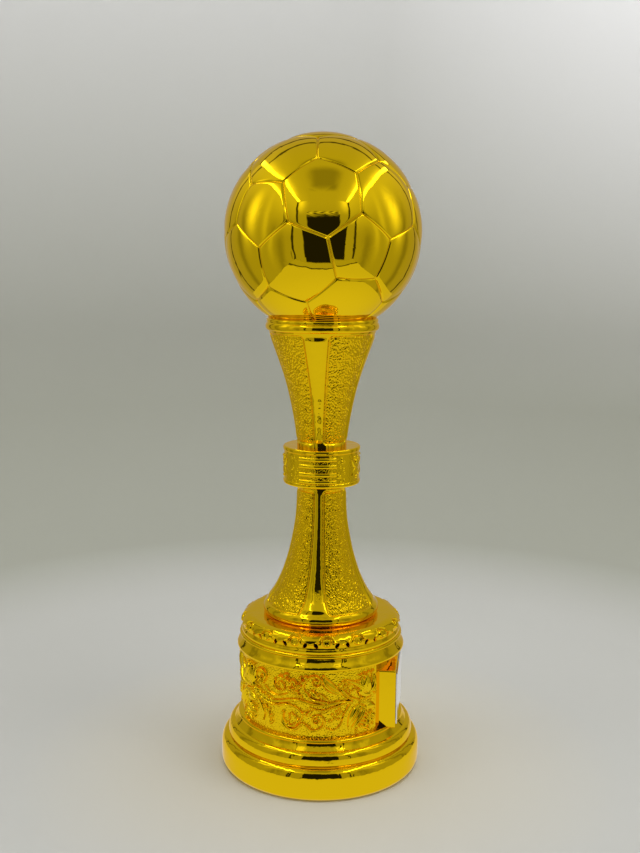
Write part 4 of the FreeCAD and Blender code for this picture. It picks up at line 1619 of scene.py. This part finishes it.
@dataclass
class Backdrop:
    """Pale sheet that curves up behind the trophy, open to the camera from outside."""

    flat: float = 0.27
    radius: float = 0.47
    tall: float = 1.3
    bend: float = 0.20

    def build(self) -> bpy.types.Object:
        """Makes the sheet."""
        arc = np.radians(np.linspace(0, 90, 16))
        curve = [(self.flat + self.bend * math.sin(a), self.bend * (1 - math.cos(a))) for a in arc]
        profile = [(0.0005, 0.0), (0.06, 0.0), (0.12, 0.0), (0.2, 0.0)] + curve + [(self.radius, self.tall)]
        outline = np.array(profile)
        turn = np.linspace(0, 2 * math.pi, 96, endpoint=False)
        rows = [[(r * math.sin(a), -r * math.cos(a), z - 0.0004) for a in turn] for r, z in outline]
        verts = np.array(rows).reshape(-1, 3) / MM
        quads = grid_quads(len(outline), len(turn), False, True)[:, ::-1]
        sheet = mesh_object("backdrop", verts, quads)
        sheet.data.materials.append(self.material())
        sheet.visible_glossy = False
        sheet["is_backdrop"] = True
        return sheet

    @staticmethod
    def material() -> bpy.types.Material:
        """Matt paper whose far side doesn't hide the trophy, with painted shade and painted light graded over it by
        height, side and nearness to the trophy.
        """
        material, tree, shader = blank_material("paper")
        axis = add(tree, "SeparateXYZ", None, Vector=object_point(tree))
        # Painted shade: the wall just above the floor is darker and greener than the floor.
        low = remap(tree, axis.outputs["Z"], 0.0, 0.024, 0.0, 1.0)
        # Painted light: the wall grows lighter towards the top, and near white on its upper right.
        high = remap(tree, axis.outputs["Z"], 0.13, 0.50, 0.0, 1.0)
        right = maths(tree, "MULTIPLY", high, remap(tree, axis.outputs["X"], 0.0, 0.35, 0.0, 1.0))
        wall = mix_colour(tree, low, (0.485, 0.485, 0.462), (0.355, 0.360, 0.312))
        wall = mix_colour(tree, high, wall, (0.545, 0.545, 0.535))
        wall = mix_colour(tree, right, wall, (0.92, 0.92, 0.94))
        # Painted light: a warm pale pool on the paper round the foot, standing in for light thrown off the gold.
        near = add(tree, "VectorMath", {"operation": "LENGTH"}, i0=object_point(tree)).outputs["Value"]
        painted_bounce_light = remap(tree, near, 0.055, 0.16, 0.55, 0.0)
        tree.links.new(mix_colour(tree, painted_bounce_light, wall, (0.60, 0.55, 0.42)), shader.inputs["Base Color"])
        shader.inputs["Roughness"].default_value = 0.9
        shader.inputs["Specular IOR Level"].default_value = 0.1
        clear = add(tree, "BsdfTransparent")
        facing = add(tree, "NewGeometry").outputs["Backfacing"]
        mix = add(tree, "MixShader", None, i0=facing, i1=shader.outputs["BSDF"], i2=clear.outputs[0])
        tree.links.new(mix.outputs[0], tree.nodes["Material Output"].inputs["Surface"])
        return material


@dataclass
class Studio:
    """Tent, backdrop, soft lights and camera."""

    tent: Tent = field(default_factory=Tent)
    backdrop: Backdrop = field(default_factory=Backdrop)

    @staticmethod
    def soft_light(name: str, place: tuple[float, float, float], size: float, power: float) -> None:
        """Square light that the polish doesn't see, aimed at the trophy."""
        data = bpy.data.lights.new(name, "AREA")
        data.size, data.energy = size, power
        lamp = bpy.data.objects.new(name, data)
        lamp.location = place
        lamp.rotation_euler = (Vector((0.0, 0.0, 0.1)) - Vector(place)).to_track_quat("-Z", "Y").to_euler()
        lamp.visible_glossy = False
        lamp.visible_camera = False
        bpy.context.scene.collection.objects.link(lamp)
        lamp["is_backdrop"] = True

    def lights(self) -> None:
        """Overhead softness with a little from each side."""
        self.soft_light("overhead", (0.0, 0.0, 1.15), 0.7, 5.0)
        self.soft_light("left_bar", (-0.26, -0.12, 0.75), 0.25, 0.7)
        self.soft_light("right_bar", (0.28, -0.08, 0.75), 0.25, 1.1)

    def world(self) -> None:
        """Even fill."""
        world = bpy.data.worlds.new("studio_air")
        world.use_nodes = True
        world.node_tree.nodes["Background"].inputs["Color"].default_value = (0.60, 0.60, 0.59, 1.0)
        world.node_tree.nodes["Background"].inputs["Strength"].default_value = 0.50
        world.cycles_visibility.glossy = False
        bpy.context.scene.world = world

    @staticmethod
    def camera() -> None:
        """Short telephoto level with the ball, tilted down and very slightly rolled."""
        data = bpy.data.cameras.new("shot")
        data.sensor_fit = "VERTICAL"
        data.sensor_height, data.sensor_width = 36.0, 36.0
        data.lens = 45.37
        data.shift_x = -0.0022
        data.clip_start, data.clip_end = 0.01, 20.0
        shot = bpy.data.objects.new("shot", data)
        turn = math.radians(SHOT_AZIMUTH)
        shot.location = (0.550 * math.sin(turn), -0.550 * math.cos(turn), 0.2705)
        aim = Euler((math.radians(90.0 - 9.3), 0.0, turn)).to_matrix() @ Matrix.Rotation(math.radians(0.35),
                                                                                         3, "Z")
        shot.rotation_euler = aim.to_euler()
        bpy.context.scene.collection.objects.link(shot)
        bpy.context.scene.camera = shot

    def build(self) -> None:
        """Sets the whole studio up."""
        self.tent.build()
        self.backdrop.build()
        self.lights()
        self.world()
        self.camera()
        bpy.context.scene.view_settings.view_transform = "Standard"
        bpy.context.scene.view_settings.look = "None"


# --------------------------------------------------------------------- trophy
@dataclass
class Trophy:
    """Every visible sub-assembly, from the ball down."""

    ball: Football = field(default_factory=Football)
    seat: SeatRing = field(default_factory=SeatRing)
    upper: Stem = field(default_factory=lambda: Stem(
        "upper_pillar", "upper_stem", UPPER_OUTLINE, 172.8, 229.3, 10.0, 13.7, 0.0, True, 3))
    collar: Collar = field(default_factory=Collar)
    lower: Stem = field(default_factory=lambda: Stem(
        "lower_pillar", "lower_stem", LOWER_OUTLINE, 87.6, 148.8, 10.5, 9.8, 5.0, False, 8))
    crown: Crown = field(default_factory=Crown)
    ring: RingMoulding = field(default_factory=RingMoulding)
    drum: Drum = field(default_factory=Drum)
    band: ScrollBand = field(default_factory=ScrollBand)
    tablet: NameTablet = field(default_factory=NameTablet)
    steps: BaseSteps = field(default_factory=BaseSteps)
    felt: FeltPad = field(default_factory=FeltPad)

    def build(self) -> None:
        """Makes and dresses every piece."""
        finishes = Finishes()
        for part in (self.ball, self.seat, self.upper, self.collar, self.lower, self.crown, self.ring,
                     self.drum,
                     self.band, self.tablet, self.steps, self.felt):
            part.build(finishes)
        dress_inner(finishes)


def clear_defaults() -> None:
    """Removes the objects that a new file starts with."""
    for thing in list(bpy.data.objects):
        bpy.data.objects.remove(thing, do_unlink=True)


def measured() -> list:
    """The frame's bounds as plain lists."""
    return json.loads(json.dumps(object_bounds(), default=list))


def main() -> None:
    """Loads the frame, builds the trophy and its studio, and measures the frame's bounds before and after."""
    logging.basicConfig(level=logging.INFO, format="%(name)s: %(message)s")
    clear_defaults()
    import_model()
    before = measured()
    Trophy().build()
    Studio().build()
    after = measured()


if __name__ == "__main__":
    main()
